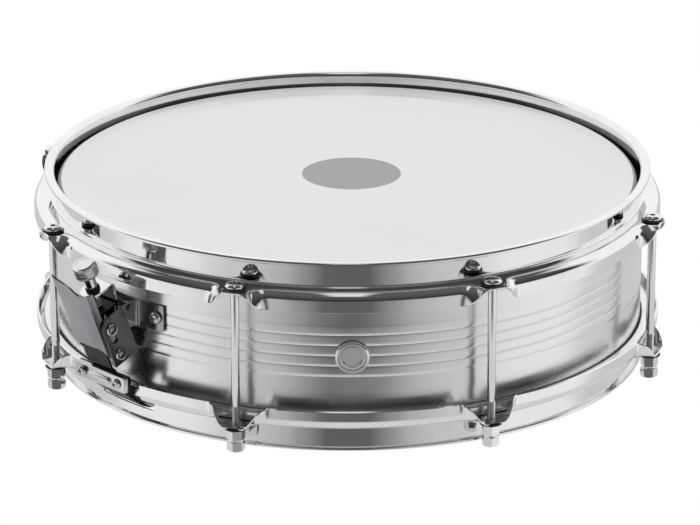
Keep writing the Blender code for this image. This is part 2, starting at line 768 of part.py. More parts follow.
def make_bracket(upright, slide):
    """Folded bracket: two cheeks joined low down at the back, each with a foot on the shell."""
    outer_y = CHEEK_INNER_Y + BRACKET_SHEET
    section = channel_section(0, BRACKET_SHEET, CHEEK_DEPTH, CHEEK_INNER_Y, outer_y)
    bracket = make_object("strainer_bracket", level_plate(section, 0, CHEEK_HEIGHT), slide, SATIN_STEEL)
    shape = side_plate(cheek_outline(), -2 * outer_y, 2 * outer_y)
    combine(bracket, make_object("cheek_shape", shape, slide), "INTERSECT")
    window = box(
        (-BRACKET_SHEET, -CHEEK_INNER_Y, BRACKET_BACK_HEIGHT),
        (2 * BRACKET_SHEET, CHEEK_INNER_Y, 2 * CHEEK_HEIGHT),
    )
    reach = 2 * outer_y
    cut(
        bracket,
        make_object("bracket_window", window, slide),
        make_object("cheek_slots", pin_slot_cutter(), slide),
        make_object("cheek_pivot_holes", cross_pin_hole(PIVOT_Z, reach), slide),
    )
    fuse(
        bracket,
        make_object("bracket_webs", mirrored_pair(web_side), upright),
        make_object("bracket_feet", mirrored_pair(foot_side), upright),
    )
    holes = []
    for angle, z in foot_screw_places():
        start = polar(angle + 180, SHELL_RADIUS, z)
        radius = MOUNT_SCREW_RADIUS + RUNNING_GAP
        holes.append(pin(radius, 6 * BRACKET_SHEET, 8, rod_matrix(start, polar(angle + 180, 1, 0))))
    cut(bracket, make_object("foot_screw_holes", joined(holes), upright))


def web_side():
    """Web that carries a cheek off its foot."""
    rise = (FOOT_LOW_Z - STRAINER_FOOT_Z) / math.cos(math.radians(STRAINER_LEAN))
    low_x, low_z = leaning_point(BRACKET_SHEET, rise)
    high_x, high_z = leaning_point(BRACKET_SHEET, CHEEK_HEIGHT)
    outline = [
        (FOOT_RADIUS - BEAD_RISE / 2, FOOT_LOW_Z),
        (low_x, low_z),
        (high_x, high_z),
        (FOOT_RADIUS - BEAD_RISE / 2, FOOT_HIGH_Z),
    ]
    return side_plate(outline, CHEEK_INNER_Y, CHEEK_INNER_Y + BRACKET_SHEET)


def foot_side():
    """Foot that lies on the shell beside a cheek, in the frame whose x points at the strainer."""
    start = 180 + math.degrees(math.asin(CHEEK_INNER_Y / FOOT_RADIUS))
    end = 180 + FOOT_END_ANGLE
    return arc_plate(FOOT_RADIUS, BRACKET_SHEET, start, end, FOOT_LOW_Z, FOOT_HIGH_Z, 3)


def cam_outline():
    """Side of the lever: boss and cam round the pivot, then the flange that runs up behind its face."""
    pivot = (PIN_X, PIVOT_Z)
    high = CAM_PIN_Z - PIVOT_Z
    fall = THROW_TRAVEL / math.radians(THROW_ANGLE)
    clear = PIN_RADIUS + RUNNING_GAP
    cam = []
    steps = 8
    for index in range(steps + 1):
        turn = math.radians(THROW_ANGLE * index / steps)
        radius = high - fall * turn
        lead = math.atan2(fall, radius)
        angle = math.radians(90) + turn
        x = radius * math.cos(angle) + clear * math.cos(angle + math.pi + lead)
        z = radius * math.sin(angle) + clear * math.sin(angle + math.pi + lead)
        cam.append((pivot[0] + x, pivot[1] + z))
    boss = arc(pivot, LEVER_BOSS_RADIUS, 200, 320, 5)
    back = LEVER_FRONT_X - LEVER_SHEET
    face = [
        (LEVER_FRONT_X, LEVER_LOW_Z),
        (LEVER_FRONT_X, LEVER_TIP_Z),
        (back, LEVER_TIP_Z),
        (back, LEVER_FLANGE_TOP_Z),
        (LEVER_FLANGE_X, LEVER_FLANGE_TOP_Z),
        (LEVER_FLANGE_X, cam[0][1]),
    ]
    return cam + boss + face


def make_lever(slide):
    """Throw lever: a folded channel whose flanges turn on the pivot pin inside the cheeks."""
    frame = make_empty("lever_axis", slide, Matrix.Translation((PIN_X, 0, PIVOT_Z)))
    outer_y = CHEEK_INNER_Y - RUNNING_GAP
    inner_y = outer_y - LEVER_SHEET
    back = LEVER_FRONT_X - LEVER_SHEET
    shift = Matrix.Translation((-PIN_X, 0, -PIVOT_Z))
    section = channel_section(LEVER_FRONT_X, back, -PIN_X, inner_y, outer_y)
    channel = level_plate(section, -PIN_X, 2 * LEVER_TIP_Z)
    bmesh.ops.transform(channel, matrix=shift, verts=channel.verts)
    lever = make_object("throw_lever", channel, frame, CHROME)
    shape = side_plate(cam_outline(), -2 * outer_y, 2 * outer_y)
    combine(lever, make_object("lever_shape", shape, slide), "INTERSECT")
    slope = [
        (-2 * outer_y, LEVER_TIP_Z + LEVER_TOP_SLOPE / 2),
        (2 * outer_y, LEVER_TIP_Z - LEVER_TOP_SLOPE * 1.5),
        (2 * outer_y, 2 * LEVER_TIP_Z),
        (-2 * outer_y, 2 * LEVER_TIP_Z),
    ]
    slope_cutter = front_plate(slope, back - LEVER_SHEET, LEVER_FRONT_X + LEVER_SHEET)
    cut(
        lever,
        make_object("lever_top_slope", slope_cutter, slide),
        make_object("lever_pivot_hole", cross_pin_hole(PIVOT_Z, 2 * outer_y), slide),
    )


def make_cross_pins(slide, carriage_frame):
    """Pivot pin of the lever and the cam pin of the carriage, each with a head outside both cheeks."""
    inner = CHEEK_INNER_Y + BRACKET_SHEET + SEAT_GAP
    outer = inner + PIN_HEAD_THICKNESS
    profile = [
        (0, outer), (PIN_HEAD_RADIUS * 0.8, outer), (PIN_HEAD_RADIUS, outer - PIN_HEAD_THICKNESS / 2),
        (PIN_HEAD_RADIUS, inner), (PIN_RADIUS, inner),
    ]
    profile += [(radius, -y) for radius, y in reversed(profile)]
    along = Vector((0, 1, 0)).to_track_quat("Z", "Y").to_matrix().to_4x4()
    place = (PIN_X, 0, PIVOT_Z)
    make_object("lever_pivot_pin", turned(profile, 12, along), slide, NICKEL, place)
    make_object("cam_pin", turned(profile, 12, along), carriage_frame, NICKEL, (PIN_X, 0, CAM_PIN_Z))


def carriage_web_x(z):
    """Middle of the carriage's web, which tilts back as it rises to the fold of the tab."""
    fall = CARRIAGE_TAB_Z + CARRIAGE_SHEET / 2 - z
    return CARRIAGE_FOLD_X + fall * math.tan(math.radians(CARRIAGE_WEB_TILT))


def make_carriage(frame):
    """Carriage between the cheeks: tilted web, low side flanges and a tab that the knob's neck stands on."""
    outer_y = CHEEK_INNER_Y - 2 * RUNNING_GAP - LEVER_SHEET - SIDE_GAP
    inner_y = outer_y - CARRIAGE_SHEET
    half = CARRIAGE_TAB_HALF_WIDTH
    tab_z = CARRIAGE_TAB_Z + CARRIAGE_SHEET / 2
    path = [
        (carriage_web_x(CARRIAGE_LOW_Z), CARRIAGE_LOW_Z),
        (CARRIAGE_FOLD_X, tab_z),
        (SCREW_X + half, tab_z),
    ]
    sheet = side_plate(sheet_outline(path, CARRIAGE_SHEET), -outer_y, outer_y)
    carriage = make_object("carriage", sheet, frame, CHROME)
    plan = [(-SCREW_X, outer_y), (-SCREW_X, -outer_y), (SCREW_X, -outer_y)]
    plan += arc((SCREW_X, 0), half, -90, 90, 8) + [(SCREW_X, outer_y)]
    combine(carriage, make_object("carriage_plan", level_plate(plan, 0, 2 * CARRIAGE_TAB_Z), frame), "INTERSECT")
    trim = mirrored_pair(lambda: box(
        (-2 * SCREW_X, half, CARRIAGE_SHOULDER_Z),
        (2 * SCREW_X, 2 * outer_y, 2 * CARRIAGE_TAB_Z),
    ))
    cut(carriage, make_object("carriage_trim", trim, frame))
    front = PIN_X + CARRIAGE_FLANGE_MARGIN
    outline = [
        (carriage_web_x(CARRIAGE_LOW_Z), CARRIAGE_LOW_Z), (front, CARRIAGE_LOW_Z),
        (front, CARRIAGE_SHOULDER_Z), (carriage_web_x(CARRIAGE_SHOULDER_Z), CARRIAGE_SHOULDER_Z),
    ]
    flanges = mirrored_pair(lambda: side_plate(outline, inner_y, outer_y))
    fuse(carriage, make_object("carriage_flanges", flanges, frame))
    hole_place = Matrix.Translation((SCREW_X, 0, CARRIAGE_SHOULDER_Z))
    screw_hole = pin(SCREW_RADIUS + 2 * RUNNING_GAP, CARRIAGE_TAB_Z, 12, hole_place)
    cut(
        carriage,
        make_object("carriage_screw_hole", screw_hole, frame),
        make_object("carriage_pin_hole", cross_pin_hole(CAM_PIN_Z, 2 * outer_y), frame),
    )


def make_adjuster(frame):
    """Knurled knob on a long screw; its neck stands on the carriage's tab."""
    neck_z = CARRIAGE_TAB_Z + CARRIAGE_SHEET + SEAT_GAP
    top = KNOB_NECK_HEIGHT + KNOB_HEIGHT
    bevel = KNOB_HEIGHT * 0.08
    bore = SCREW_RADIUS + RUNNING_GAP
    axis = make_empty("knob_axis", frame, Matrix.Translation((SCREW_X, 0, neck_z)))
    outline = [
        (0, top), (KNOB_RADIUS - bevel, top), (KNOB_RADIUS, top - bevel),
        (KNOB_RADIUS, KNOB_NECK_HEIGHT + bevel), (KNOB_RADIUS - bevel, KNOB_NECK_HEIGHT),
        (KNOB_NECK_RADIUS, KNOB_NECK_HEIGHT), (KNOB_NECK_RADIUS, 0), (bore, 0),
        (bore, top - KNOB_CAP), (0, top - KNOB_CAP),
    ]
    make_object("adjuster_knob", turned(outline, 16), axis, CHROME, smooth=True)
    low = SCREW_LOW_Z - neck_z
    shaft = pin(SCREW_RADIUS, top - KNOB_CAP - SEAT_GAP - low, 12, Matrix.Translation((0, 0, low)))
    make_object("adjuster_screw", shaft, axis, NICKEL, smooth=True)


def clamp_screw_holes(radius, low_x, high_x):
    parts = []
    for side in (-1, 1):
        start = (low_x, side * CLAMP_SCREW_Y, CLAMP_MID_Z)
        parts.append(pin(radius, high_x - low_x, 8, rod_matrix(start, (1, 0, 0))))
    return joined(parts)


def clamp_base(thickness):
    """Wide lower flange that the clamp plate is screwed to."""
    low = (CLAMP_BASE_X, -CLAMP_HALF_LENGTH, CLAMP_LOW_Z)
    high = (CLAMP_BASE_X + thickness, CLAMP_HALF_LENGTH, CLAMP_LOW_Z + CLAMP_HEIGHT)
    return box(low, high)


def make_tension_plate(upright, slide_frame):
    """Plate that hangs on the adjusting screw by a square nut and ends in the snare clamp."""
    half = TENSION_SHEET / 2
    half_width = CHEEK_INNER_Y - 2 * RUNNING_GAP - LEVER_SHEET - SIDE_GAP
    bridge_half = half_width - CARRIAGE_SHEET - SIDE_GAP
    web_x = TENSION_WEB_X + half
    back_x = carriage_web_x(BRIDGE_Z - BRIDGE_DROP) + CARRIAGE_SHEET / 2 + 2 * SIDE_GAP
    path = [
        leaning_point(back_x, BRIDGE_Z + half),
        leaning_point(web_x, BRIDGE_Z + half),
        leaning_point(web_x, TENSION_WEB_LOW_Z),
        (CLAMP_BASE_X + half, CLAMP_LOW_Z + CLAMP_HEIGHT),
        (CLAMP_BASE_X + half, CLAMP_LOW_Z),
    ]
    plate = make_object(
        "tension_plate", side_plate(sheet_outline(path, TENSION_SHEET), -half_width, half_width),
        upright, BLACK_STEEL,
    )
    fuse(plate, make_object("tension_clamp_base", clamp_base(TENSION_SHEET), upright))
    trim = mirrored_pair(lambda: box(
        (-SCREW_X, bridge_half, BRIDGE_Z - NUT_BLOCK_HEIGHT),
        (TENSION_WEB_X - RUNNING_GAP, 2 * half_width, BRIDGE_Z + NUT_BLOCK_HEIGHT),
    ))
    hole_place = Matrix.Translation((SCREW_X, 0, BRIDGE_Z - 2 * NUT_BLOCK_HEIGHT))
    screw_hole = pin(SCREW_RADIUS + RUNNING_GAP, 4 * NUT_BLOCK_HEIGHT, 12, hole_place)
    hole_radius = CLAMP_SCREW_RADIUS + RUNNING_GAP
    holes = clamp_screw_holes(hole_radius, CLAMP_BASE_X - TENSION_SHEET, CLAMP_BASE_X + 2 * TENSION_SHEET)
    side = NUT_BLOCK_SIDE / 2
    low = BRIDGE_Z - NUT_BLOCK_HEIGHT
    block = box((SCREW_X - side, -side, low), (SCREW_X + side, side, BRIDGE_Z + half))
    fuse(plate, make_object("bridge_nut", block, slide_frame))
    cut(
        plate,
        make_object("bridge_trim", trim, slide_frame),
        make_object("bridge_screw_hole", screw_hole, slide_frame),
        make_object("tension_screw_holes", holes, upright),
    )


def clamp_plate(name, parent):
    """Ribbed plate that presses the strap against the clamp's base."""
    front = CLAMP_PLATE_X + CLAMP_PLATE_THICKNESS
    bevel = CLAMP_HEIGHT * 0.12
    half = CLAMP_HALF_LENGTH
    low, high = CLAMP_LOW_Z, CLAMP_LOW_Z + CLAMP_HEIGHT
    outline = [
        (-half, low + bevel), (bevel - half, low), (half - bevel, low), (half, low + bevel),
        (half, high - bevel), (half - bevel, high), (bevel - half, high), (-half, high - bevel),
    ]
    plate = make_object(name, front_plate(outline, CLAMP_PLATE_X, front), parent, CHROME)
    rib_start = (front, -CLAMP_RIB_HALF_LENGTH, CLAMP_MID_Z)
    rib = pin(CLAMP_RIB_RADIUS, 2 * CLAMP_RIB_HALF_LENGTH, 10, rod_matrix(rib_start, (0, 1, 0)))
    fuse(plate, make_object(name + "_rib", rib, parent))
    holes = clamp_screw_holes(CLAMP_SCREW_RADIUS + RUNNING_GAP, CLAMP_BASE_X, front + CLAMP_PLATE_THICKNESS)
    cut(plate, make_object(name + "_holes", holes, parent))


def clamp_screws(name, parent):
    """Two screws through the clamp plate into the base."""
    seat = CLAMP_PLATE_X + CLAMP_PLATE_THICKNESS + SEAT_GAP
    length = seat - CLAMP_BASE_X + CLAMP_SCREW_TAIL
    for index, side in enumerate((-1, 1)):
        place = rod_matrix((seat, side * CLAMP_SCREW_Y, CLAMP_MID_Z), (1, 0, 0))
        screw = pan_head(CLAMP_SCREW_RADIUS, length, CLAMP_HEAD_RADIUS, CLAMP_HEAD_HEIGHT, 8, place)
        make_object(f"{name}_{index + 1}", screw, parent, NICKEL)


def make_butt(drum):
    """Fixed clamp opposite the strainer, bent out from the shell to the same height and reach."""
    half = BUTT_SHEET / 2
    shell_x = FOOT_RADIUS + half
    base_x = CLAMP_BASE_X + TENSION_SHEET - half
    path = [
        (shell_x, BUTT_FOOT_LOW_Z + BUTT_SHEET),
        (shell_x, BUTT_FOOT_LOW_Z),
        (base_x, BUTT_KNEE_Z),
        (base_x, CLAMP_LOW_Z),
    ]
    shape = side_plate(sheet_outline(path, BUTT_SHEET), -BUTT_HALF_WIDTH, BUTT_HALF_WIDTH)
    plate = make_object("butt_plate", shape, drum, CHROME)
    foot_angle = math.degrees(math.asin(BUTT_HALF_WIDTH / FOOT_RADIUS))
    foot = arc_plate(
        FOOT_RADIUS, BUTT_SHEET, 180 - foot_angle, 180 + foot_angle, BUTT_FOOT_LOW_Z, BUTT_FOOT_HIGH_Z, 4,
    )
    low = (CLAMP_BASE_X + TENSION_SHEET - BUTT_SHEET, -CLAMP_HALF_LENGTH, CLAMP_LOW_Z)
    high = (CLAMP_BASE_X + TENSION_SHEET, CLAMP_HALF_LENGTH, CLAMP_LOW_Z + CLAMP_HEIGHT)
    fuse(
        plate,
        make_object("butt_foot", foot, drum),
        make_object("butt_clamp_base", box(low, high), drum),
    )
    holes = [clamp_screw_holes(CLAMP_SCREW_RADIUS + RUNNING_GAP, CLAMP_BASE_X - BUTT_SHEET, CLAMP_STRAP_X)]
    for angle, z in butt_screw_places():
        start = polar(angle, SHELL_RADIUS, z)
        radius = MOUNT_SCREW_RADIUS + RUNNING_GAP
        holes.append(pin(radius, 5 * BUTT_SHEET, 8, rod_matrix(start, polar(angle, 1, 0))))
    cut(plate, make_object("butt_holes", joined(holes), drum))
    clamp_plate("butt_clamp_plate", drum)
    clamp_screws("butt_clamp_screw", drum)


def make_mount_screws(drum):
    """Screws through the shell, each with its hex nut inside, for the bracket and the butt plate."""
    groups = (
        ("strainer_mount_screw", foot_screw_places(), BRACKET_SHEET),
        ("butt_mount_screw", butt_screw_places(), BUTT_SHEET),
    )
    for group, places, sheet in groups:
        seat = FOOT_RADIUS + sheet + SEAT_GAP
        inside = SHELL_INNER_FLAT - SEAT_GAP
        length = seat - inside + MOUNT_SCREW_TAIL
        for index, (angle, z) in enumerate(places):
            name = f"{group}_{index + 1}"
            outward = polar(angle, 1, 0)
            place = rod_matrix(polar(angle, seat, z), outward)
            head = pan_head(MOUNT_SCREW_RADIUS, length, MOUNT_HEAD_RADIUS, MOUNT_HEAD_HEIGHT, 8, place)
            screw = make_object(name, head, drum, NICKEL)
            nut_place = rod_matrix(polar(angle, inside - MOUNT_NUT_HEIGHT, z), outward)
            nut = pin(MOUNT_NUT_RADIUS, MOUNT_NUT_HEIGHT, 6, nut_place)
            fuse(screw, make_object(name + "_nut", nut, drum))


def make_snares(drum):
    """Strands along X under the lower head, with a plate under their ends at each side."""
    strands = []
    for index in range(SNARE_STRANDS):
        y = (index - (SNARE_STRANDS - 1) / 2) * SNARE_PITCH
        place = rod_matrix((-SNARE_HALF_LENGTH, y, STRAND_Z), (1, 0, 0))
        strands.append(pin(SNARE_STRAND_RADIUS, 2 * SNARE_HALF_LENGTH, 4, place))
    wires = make_object("snare_wires", joined(strands), drum, SPRING_STEEL)
    low_z = END_PLATE_TOP_Z - END_PLATE_THICKNESS
    width = END_PLATE_HALF_WIDTH
    for name, side in (("strainer_end_plate", -1), ("butt_end_plate", 1)):
        near, far = sorted((side * END_PLATE_INNER_X, side * END_PLATE_OUTER_X))
        plate = box((near, -width, low_z), (far, width, END_PLATE_TOP_Z))
        fuse(wires, make_object(name, plate, drum))


def strap_shape():
    """Strap from the end plate, out through the gate and up into the clamp, with x outward."""
    half = STRAP_THICKNESS / 2
    plate_z = END_PLATE_TOP_Z - END_PLATE_THICKNESS - SEAT_GAP - half
    sill_z = GATE_SILL_Z + 2 * SEAT_GAP + STRAP_THICKNESS
    clamp_x = CLAMP_STRAP_X + half
    path = [
        (STRAP_END_X, plate_z),
        (END_PLATE_OUTER_X + 0.004, plate_z),
        (NECK_RADIUS - EDGE_ROLL_RADIUS, (plate_z + HEAD_DEPTH) / 2),
        (HOOP_WALL_RADIUS - HOOP_SHEET, sill_z),
        (clamp_x, CLAMP_LOW_Z - STRAP_THICKNESS),
        (clamp_x, CLAMP_LOW_Z + CLAMP_HEIGHT),
    ]
    return side_plate(sheet_outline(path, STRAP_THICKNESS), -STRAP_HALF_WIDTH, STRAP_HALF_WIDTH)


def centre_on_origin(root):
    """Moves the whole drum so that its box stands centred on the origin."""
    bpy.context.view_layer.update()
    corners = []
    for obj in bpy.data.objects:
        if obj.type == "MESH" and not obj.hide_render:
            corners += [obj.matrix_world @ Vector(corner) for corner in obj.bound_box]
    for axis in range(2):
        values = [corner[axis] for corner in corners]
        root.location[axis] = -(min(values) + max(values)) / 2
    root.location.z = -min(corner.z for corner in corners)


def main():
    clear_scene()
    drum = make_empty("drum")
    make_shell(drum)
    make_heads(drum)
    make_hoops(drum)
    make_tension_rods(drum)
    make_washers(drum)
    make_vent(drum)
    upright, slide = strainer_frames(drum)
    make_bracket(upright, slide)
    make_lever(slide)
    carriage_frame = make_empty("carriage_slide", slide)
    make_cross_pins(slide, carriage_frame)
    make_carriage(carriage_frame)
    make_adjuster(carriage_frame)
    make_tension_plate(upright, slide)
    clamp_plate("strainer_clamp_plate", upright)
    clamp_screws("strainer_clamp_screw", upright)
    make_butt(drum)
    make_mount_screws(drum)
    make_snares(drum)
    make_object("strainer_strap", strap_shape(), upright, STRAP_FILM)
    make_object("butt_strap", strap_shape(), drum, STRAP_FILM)
    centre_on_origin(drum)


main()
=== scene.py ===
import math

import bmesh
import bpy
from mathutils import Matrix, Vector


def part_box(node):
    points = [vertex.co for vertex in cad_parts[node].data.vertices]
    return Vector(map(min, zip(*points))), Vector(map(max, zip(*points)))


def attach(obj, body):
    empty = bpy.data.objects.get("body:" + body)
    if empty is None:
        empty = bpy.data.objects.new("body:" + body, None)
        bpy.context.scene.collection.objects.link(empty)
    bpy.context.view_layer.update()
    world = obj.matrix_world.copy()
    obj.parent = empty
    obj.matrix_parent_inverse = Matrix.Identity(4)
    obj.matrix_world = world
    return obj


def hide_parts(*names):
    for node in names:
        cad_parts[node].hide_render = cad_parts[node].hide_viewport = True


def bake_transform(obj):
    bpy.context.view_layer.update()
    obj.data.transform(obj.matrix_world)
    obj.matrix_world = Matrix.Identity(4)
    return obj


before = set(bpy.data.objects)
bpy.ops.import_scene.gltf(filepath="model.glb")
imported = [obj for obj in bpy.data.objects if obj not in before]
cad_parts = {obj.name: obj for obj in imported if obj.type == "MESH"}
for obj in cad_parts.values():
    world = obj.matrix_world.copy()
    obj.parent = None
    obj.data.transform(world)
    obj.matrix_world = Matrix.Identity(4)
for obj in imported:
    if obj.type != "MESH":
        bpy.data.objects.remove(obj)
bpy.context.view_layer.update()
shellLow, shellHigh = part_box("shell")
axisX = (shellLow.x + shellHigh.x) / 2  # the drum's axis

# sizes that several pieces share, in metres
drumHeight = 0.1140
shellRadius = 0.1760
shellWall = 0.0012
neckRadius = 0.1726
rollRadius = 0.0030  # rolled bearing edge
shellTop = 0.1056
headTop = 0.1062
hoopSheet = 0.0014
hoopWall = 0.1751
ledgeDepth = 0.0156
skirtOuter = 0.1867
rodCircle = 0.1890
rodAngles = [27 + 45 * index for index in range(8)]  # degrees round from the strainer
footRadius = 0.1769  # what is screwed to the shell lies on this radius
fitGap = 0.0003
footZ = 0.0441
lean = math.radians(21.4)  # the strainer leans out at its top
pinX, pivotZ, camZ = 0.0125, 0.0062, 0.0239
throwTravel = 0.0075
throwAngle = math.radians(70)
cheekY = 0.0120
sheet = 0.0012  # of the strainer's parts
buttSheet = 0.0015
footLow, footHigh = 0.0595, 0.0752
ventAngle, ventZ = 47.4, 0.0570
screwX = 0.0065
tabTop = 0.04485
clampX = 0.1911
clampLow, clampHigh = 0.0240, 0.0334
clampMiddle = (clampLow + clampHigh) / 2
clampHalf = 0.02175
clampScrewY = 0.0150
strapX = clampX + sheet + fitGap
clampFace = strapX + 0.0004 + fitGap

# frames: the drum, the same with x towards the strainer, and the leaning one of the strainer's slide
toRow = Matrix.Translation((axisX, 0, 0))
upright = toRow @ Matrix.Rotation(math.pi, 4, "Z")
slide = upright @ Matrix.Translation((footRadius + fitGap, 0, footZ)) @ Matrix.Rotation(lean, 4, "Y")


def polar(angle, radius, z):
    turn = math.radians(180 + angle)
    return Vector((radius * math.cos(turn), radius * math.sin(turn), z))


def leaning(x, z):  # a point of the slide's frame, seen in the upright one
    across = footRadius + fitGap + x * math.cos(lean) + z * math.sin(lean)
    return across, footZ - x * math.sin(lean) + z * math.cos(lean)


def standing(start, axis):  # frame with its z along the axis
    return Matrix.Translation(start) @ Vector(axis).to_track_quat("Z", "Y").to_matrix().to_4x4()


# node groups

def newGroup(name, inputs, outputs):
    group = bpy.data.node_groups.new(name, "ShaderNodeTree")
    for label, kind, value in inputs:
        socket = group.interface.new_socket(label, in_out="INPUT", socket_type=kind)
        socket.default_value = value
    for label, kind in outputs:
        group.interface.new_socket(label, in_out="OUTPUT", socket_type=kind)
    return group, group.nodes.new("NodeGroupInput"), group.nodes.new("NodeGroupOutput")


def addNode(tree, kind, **values):
    node = tree.nodes.new(kind)
    for key, value in values.items():
        setattr(node, key, value)
    return node


def addMath(tree, operation, first, second):
    node = addNode(tree, "ShaderNodeMath", operation=operation)
    for socket, value in zip(node.inputs, (first, second)):
        if isinstance(value, (int, float)):
            socket.default_value = value
        else:
            tree.links.new(value, socket)
    return node.outputs[0]


def addRange(tree, source, low, high, start=0.3, end=0.7):
    node = addNode(tree, "ShaderNodeMapRange")
    node.inputs["From Min"].default_value = start
    node.inputs["From Max"].default_value = end
    for label, value in (("To Min", low), ("To Max", high)):
        if isinstance(value, (int, float)):
            node.inputs[label].default_value = value
        else:
            tree.links.new(value, node.inputs[label])
    tree.links.new(source, node.inputs["Value"])
    return node.outputs["Result"]


def makeWearGroup():  # patches of tone, fine grain and the roughness that follows them
    group, entry, leave = newGroup(
        "surfaceWear",
        [
            ("Dark", "NodeSocketColor", (0.5, 0.5, 0.5, 1)),
            ("Light", "NodeSocketColor", (0.8, 0.8, 0.8, 1)),
            ("Roughness", "NodeSocketFloat", 0.2),
            ("Patch Scale", "NodeSocketFloat", 34.0),
            ("Grain Scale", "NodeSocketFloat", 900.0),
            ("Grain Stretch", "NodeSocketVector", (1, 1, 1)),
            ("Spread", "NodeSocketFloat", 0.4),
        ],
        [("Color", "NodeSocketColor"), ("Roughness", "NodeSocketFloat"), ("Grain", "NodeSocketFloat")],
    )
    links = group.links
    coords = addNode(group, "ShaderNodeTexCoord")
    patches = addNode(group, "ShaderNodeTexNoise")
    patches.inputs["Detail"].default_value = 4
    links.new(coords.outputs["Object"], patches.inputs["Vector"])
    links.new(entry.outputs["Patch Scale"], patches.inputs["Scale"])
    stretch = addNode(group, "ShaderNodeMapping")
    links.new(coords.outputs["Object"], stretch.inputs["Vector"])
    links.new(entry.outputs["Grain Stretch"], stretch.inputs["Scale"])
    grain = addNode(group, "ShaderNodeTexNoise")
    links.new(stretch.outputs["Vector"], grain.inputs["Vector"])
    links.new(entry.outputs["Grain Scale"], grain.inputs["Scale"])
    mix = addNode(group, "ShaderNodeMix", data_type="RGBA")
    links.new(addRange(group, patches.outputs["Fac"], 0, 1), mix.inputs["Factor"])
    links.new(entry.outputs["Dark"], mix.inputs["A"])
    links.new(entry.outputs["Light"], mix.inputs["B"])
    speckle = addMath(group, "MULTIPLY", grain.outputs["Fac"], entry.outputs["Spread"])
    uneven = addMath(group, "ADD", speckle, patches.outputs["Fac"])
    smooth = addMath(group, "MULTIPLY", entry.outputs["Roughness"], 0.75)
    rough = addMath(group, "MULTIPLY", entry.outputs["Roughness"], 1.3)
    links.new(mix.outputs["Result"], leave.inputs["Color"])
    links.new(addRange(group, uneven, smooth, rough, 0.4, 1.0), leave.inputs["Roughness"])
    links.new(grain.outputs["Fac"], leave.inputs["Grain"])
    return group


def makeRadiusGroup():  # how far a point lies from the drum's axis or from a mark near it
    group, entry, leave = newGroup(
        "discMask",
        [
            ("Centre", "NodeSocketVector", (0, 0, 0)),
            ("Inner", "NodeSocketFloat", 0.0290),
            ("Outer", "NodeSocketFloat", 0.0295),
        ],
        [("Mask", "NodeSocketFloat")],
    )
    coords = addNode(group, "ShaderNodeTexCoord")
    flat = addNode(group, "ShaderNodeMapping")
    flat.inputs["Location"].default_value = (-axisX, 0, 0)
    flat.inputs["Scale"].default_value = (1, 1, 0)
    away = addNode(group, "ShaderNodeVectorMath", operation="DISTANCE")
    edge = addNode(group, "ShaderNodeMapRange")
    group.links.new(coords.outputs["Object"], flat.inputs["Vector"])
    group.links.new(flat.outputs["Vector"], away.inputs[0])
    group.links.new(entry.outputs["Centre"], away.inputs[1])
    group.links.new(away.outputs["Value"], edge.inputs["Value"])
    group.links.new(entry.outputs["Inner"], edge.inputs["From Min"])
    group.links.new(entry.outputs["Outer"], edge.inputs["From Max"])
    group.links.new(edge.outputs["Result"], leave.inputs["Mask"])
    return group


wearGroup = makeWearGroup()
discGroup = makeRadiusGroup()


# materials

